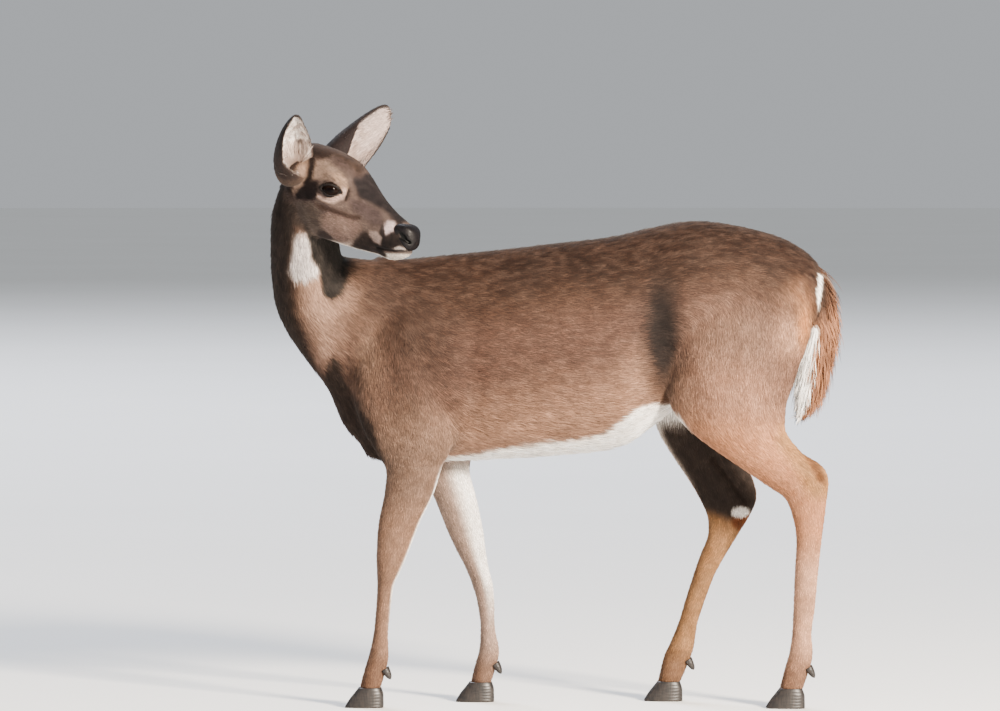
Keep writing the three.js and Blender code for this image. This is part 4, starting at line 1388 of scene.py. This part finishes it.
BARE_LIDS = 1.13  # how far past the lids' opening the face is bare
BARE_CHIN, BARE_WIDTH = -0.033, 0.030  # lower edge and half width of the bare nose, in head measures
BARE_FEET = 0.037
TRUNK_HALVES = 0.07
around_at = np.stack([np.cos(2 * np.pi * around), np.sin(2 * np.pi * around)], 1)
on_head = to_head(points)
snout = member[:, HEAD_PART] * ramp(0.06, 0.13, on_head[:, 0])
high_on_leg = ramp(0.30, 0.60, points[:, 2])
on_leg = member[:, FORELEGS + HINDLEGS].sum(1)
not_leg = member[:, :4]
hair_length = not_leg @ [0.0115, 0.0120, 0.0060, 0.016] + on_leg * (0.0062 + 0.0050 * high_on_leg)
hair_length -= 0.0024 * snout
hair_length += 0.006 * member[:, TRUNK_PART] * ramp(0.2, -0.7, normals[:, 2])
hair_width = not_leg @ [0.0015, 0.0015, 0.0010, 0.0016] + on_leg * (0.0011 + 0.0004 * high_on_leg)
hair_width -= 0.0003 * snout
hair_lift = not_leg @ [0.105, 0.105, 0.10, 0.2] + 0.09 * on_leg
pad_start = np.interp(on_head[:, 2], *np.transpose(PAD_EDGE)) + 0.003
bare = (on_head[:, 0] > pad_start) & (on_head[:, 2] > BARE_CHIN) & (np.abs(on_head[:, 1]) < BARE_WIDTH)
for side in (1, -1):
    u, v, w = eye_reach(on_head, side).T
    bare |= (w > 0) & (np.hypot(u, v) < BARE_LIDS * almond(np.arctan2(v, u)))
bare |= points[:, 2] < BARE_FEET
face_part = part_of[triangles[:, 0]]
face_middle = points[triangles].mean(1)
haired = ~bare[triangles].any(1)
left = face_middle[:, 1] < 0
fore_half = face_middle[:, 0] < TRUNK_HALVES
trunk_face = face_part == TRUNK_PART
head_face = face_part == HEAD_PART
head_left = to_head(face_middle)[:, 1] >= 0
COATS = [
    ("coat_trunk_left_front", trunk_face & left & fore_half, 0.0029, "coat"),
    ("coat_trunk_left_rear", trunk_face & left & ~fore_half, 0.0029, "coat"),
    ("coat_trunk_right_front", trunk_face & ~left & fore_half, 0.0029, "coat"),
    ("coat_trunk_right_rear", trunk_face & ~left & ~fore_half, 0.0029, "coat"),
    ("coat_neck", face_part == NECK_PART, 0.0027, "coat"),
    ("coat_head_left", head_face & head_left, 0.0017, "face_coat"),
    ("coat_head_right", head_face & ~head_left, 0.0017, "face_coat"),
    ("coat_foreleg_left", face_part == FORELEGS[0], 0.0024, "coat"),
    ("coat_foreleg_right", face_part == FORELEGS[1], 0.0024, "coat"),
    ("coat_hindleg_left", face_part == HINDLEGS[0], 0.0027, "coat"),
    ("coat_hindleg_right", face_part == HINDLEGS[1], 0.0027, "coat"),
]


def unwrap_at(at_roots):
    """Places on the hide's unwrap: how far round the part against how far along it."""
    angle = at_roots(around_at)
    return np.stack([np.arctan2(angle[:, 1], angle[:, 0]) / (2 * np.pi) + 0.5, at_roots(along)], 1)


UV_MARGIN, UV_SPAN = 0.004, 0.988
for seed, (name, chosen, spacing, slot) in enumerate(COATS):
    at_roots, root, normal = sown(points, normals, triangles[chosen & haired], spacing, seed + 1)
    colour = coat_colour(root, normal, at_roots(member))
    unwrap = unwrap_at(at_roots)
    low, high = unwrap.min(0), unwrap.max(0)
    unwrap = UV_MARGIN + UV_SPAN * (unwrap - low) / (high - low)
    long, wide, lift = (at_roots(v) for v in (hair_length, hair_width, hair_lift))
    wide = wide * 1
    spikes(name, root, normal, at_roots(lie), long, wide, lift, 0.09, colour, unwrap, seed + 50, slot)

# Ear hair: short and dark over the backs, where it carries the ears' painted shade, long and white inside,
# lying up the ear.
for seed, (name, (ear, ear_points, ear_triangles, height, width, inside, run)) in enumerate(ears.items()):
    ear_normals = points_of(ear, "normal")
    for lining in (False, True):
        above_root = height[ear_triangles].min(1) > 0.10 * lining
        chosen = ear_triangles[(inside[ear_triangles].all(1) == lining) & above_root]
        spacing = 0.0021 if lining else 0.0019
        at_roots, root, normal = sown(ear_points, ear_normals, chosen, spacing, seed + 80)
        t, s = at_roots(height), at_roots(width)
        colour = ear_colour(t, s, np.full(len(t), lining), root, name)
        long = (0.0080 + 0.009 * ramp(0.7, 0.2, t)) if lining else 0.0065 - 0.002 * t
        lift = 0.26 if lining else 0.12
        unwrap = np.stack([0.01 + 0.98 * (s + 1) / 2, 0.01 + 0.98 * t], 1)
        label = f"{name}_{'lining' if lining else 'back'}_hair"
        way = unit(at_roots(run))
        spikes(label, root, normal, way, long, 0.0012, lift, 0.2, colour, unwrap, seed + 90, "ear_coat")

# Long hair of the tail: tapering locks of three stretches that leave the dock, bend down and
# lie over each other, rust-brown above and white beneath.
LOCK_STOPS = [0.0, 0.35, 0.72]
LOCK_WIDTH = 0.0028
LOCK_LIFT = 0.24
LOCK_DROOP = 0.12
LOCK_SPREAD = 0.12
TAIL_COATS = [("tail_under_hair", 0.0024, 0.030), ("tail_long_hair", 0.0025, 0.046)]


def lock_faces():
    """Faces of one lock: three-sided walls between its stops, a point at the tip and a cap at the root."""
    faces = [[0, 2, 1]]
    for k in range(len(LOCK_STOPS) - 1):
        for j in range(3):
            a, b = 3 * k + j, 3 * k + (j + 1) % 3
            faces += [[a, b, b + 3], [a, b + 3, a + 3]]
    end = 3 * (len(LOCK_STOPS) - 1)
    faces += [[end + j, end + (j + 1) % 3, end + 3] for j in range(3)]
    return np.array(faces)


def locks(name, root, normal, lie, length, colour, unwrap, seed):
    """Long tufts: three-cornered locks that start out from the hide, bend to hang and narrow to the tip."""
    random = np.random.default_rng(seed)
    count = len(root)
    way, aside = turned(lie, normal, LOCK_SPREAD, random)
    long = varied(random, length, 0.22, 0.5, 1.5, count)
    wide = varied(random, LOCK_WIDTH, 0.2, 0.6, 1.5, count)
    up = varied(random, LOCK_LIFT, 0.4, 0.2, 2, count)
    sideways = 0.9 * np.sign(normal[:, 1:2]) * SIDEWAYS
    rows, softs = [], []
    for stop in (*LOCK_STOPS, 1.0):
        spot = root + way * long * stop + normal * up * long * (stop - 0.45 * stop ** 2) * 1.6
        spot = spot - np.array([0, 0, LOCK_DROOP]) * long * stop ** 2
        if stop == 1.0:
            rows.append(spot)
            softs.append(normal + 0.3 * way)
            continue
        half = wide / 2 * (1 - stop) ** 0.6
        rows += [spot - aside * half, spot + aside * half, spot + normal * half * 0.8]
        softs += [normal - 0.3 * aside + sideways, normal + 0.3 * aside + sideways, normal + sideways]
    light = 1 + random.normal(0, 0.09, count)
    fade = np.array([0.80] * 3 + [0.95] * 3 + [1.05] * 3 + [1.0])
    fade = np.where(colour.min(1)[:, None] > PALE, 1 - 0.3 * (1 - fade), fade)
    shades = light[:, None] * fade
    corners = [[0.001 * (j - 1), 0.001 * k] for k in range(3) for j in (0, 2, 1)]
    uv = unwrap[:, None] + np.array([*corners, [0, 0.003]])
    return coat(name, np.stack(rows, 1), lock_faces(), uv, colour, shades, np.stack(softs, 1), "tail_coat")


chosen = triangles[face_part == TAIL_PART]
for seed, (name, spacing, long) in enumerate(TAIL_COATS):
    at_roots, root, normal = sown(points, normals, chosen, spacing, seed + 120)
    colour = coat_colour(root, normal, at_roots(member))
    unwrap = UV_MARGIN + UV_SPAN * np.clip(unwrap_at(at_roots), 0, 1)
    reach = long * (1 - 0.55 * ramp(0.62, 1.0, unwrap[:, 1])) * ramp(-0.15, 0.25, unwrap[:, 1])
    tail = locks(name, root, normal, at_roots(lie), reach, colour, unwrap, seed + 130)
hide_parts("tail")
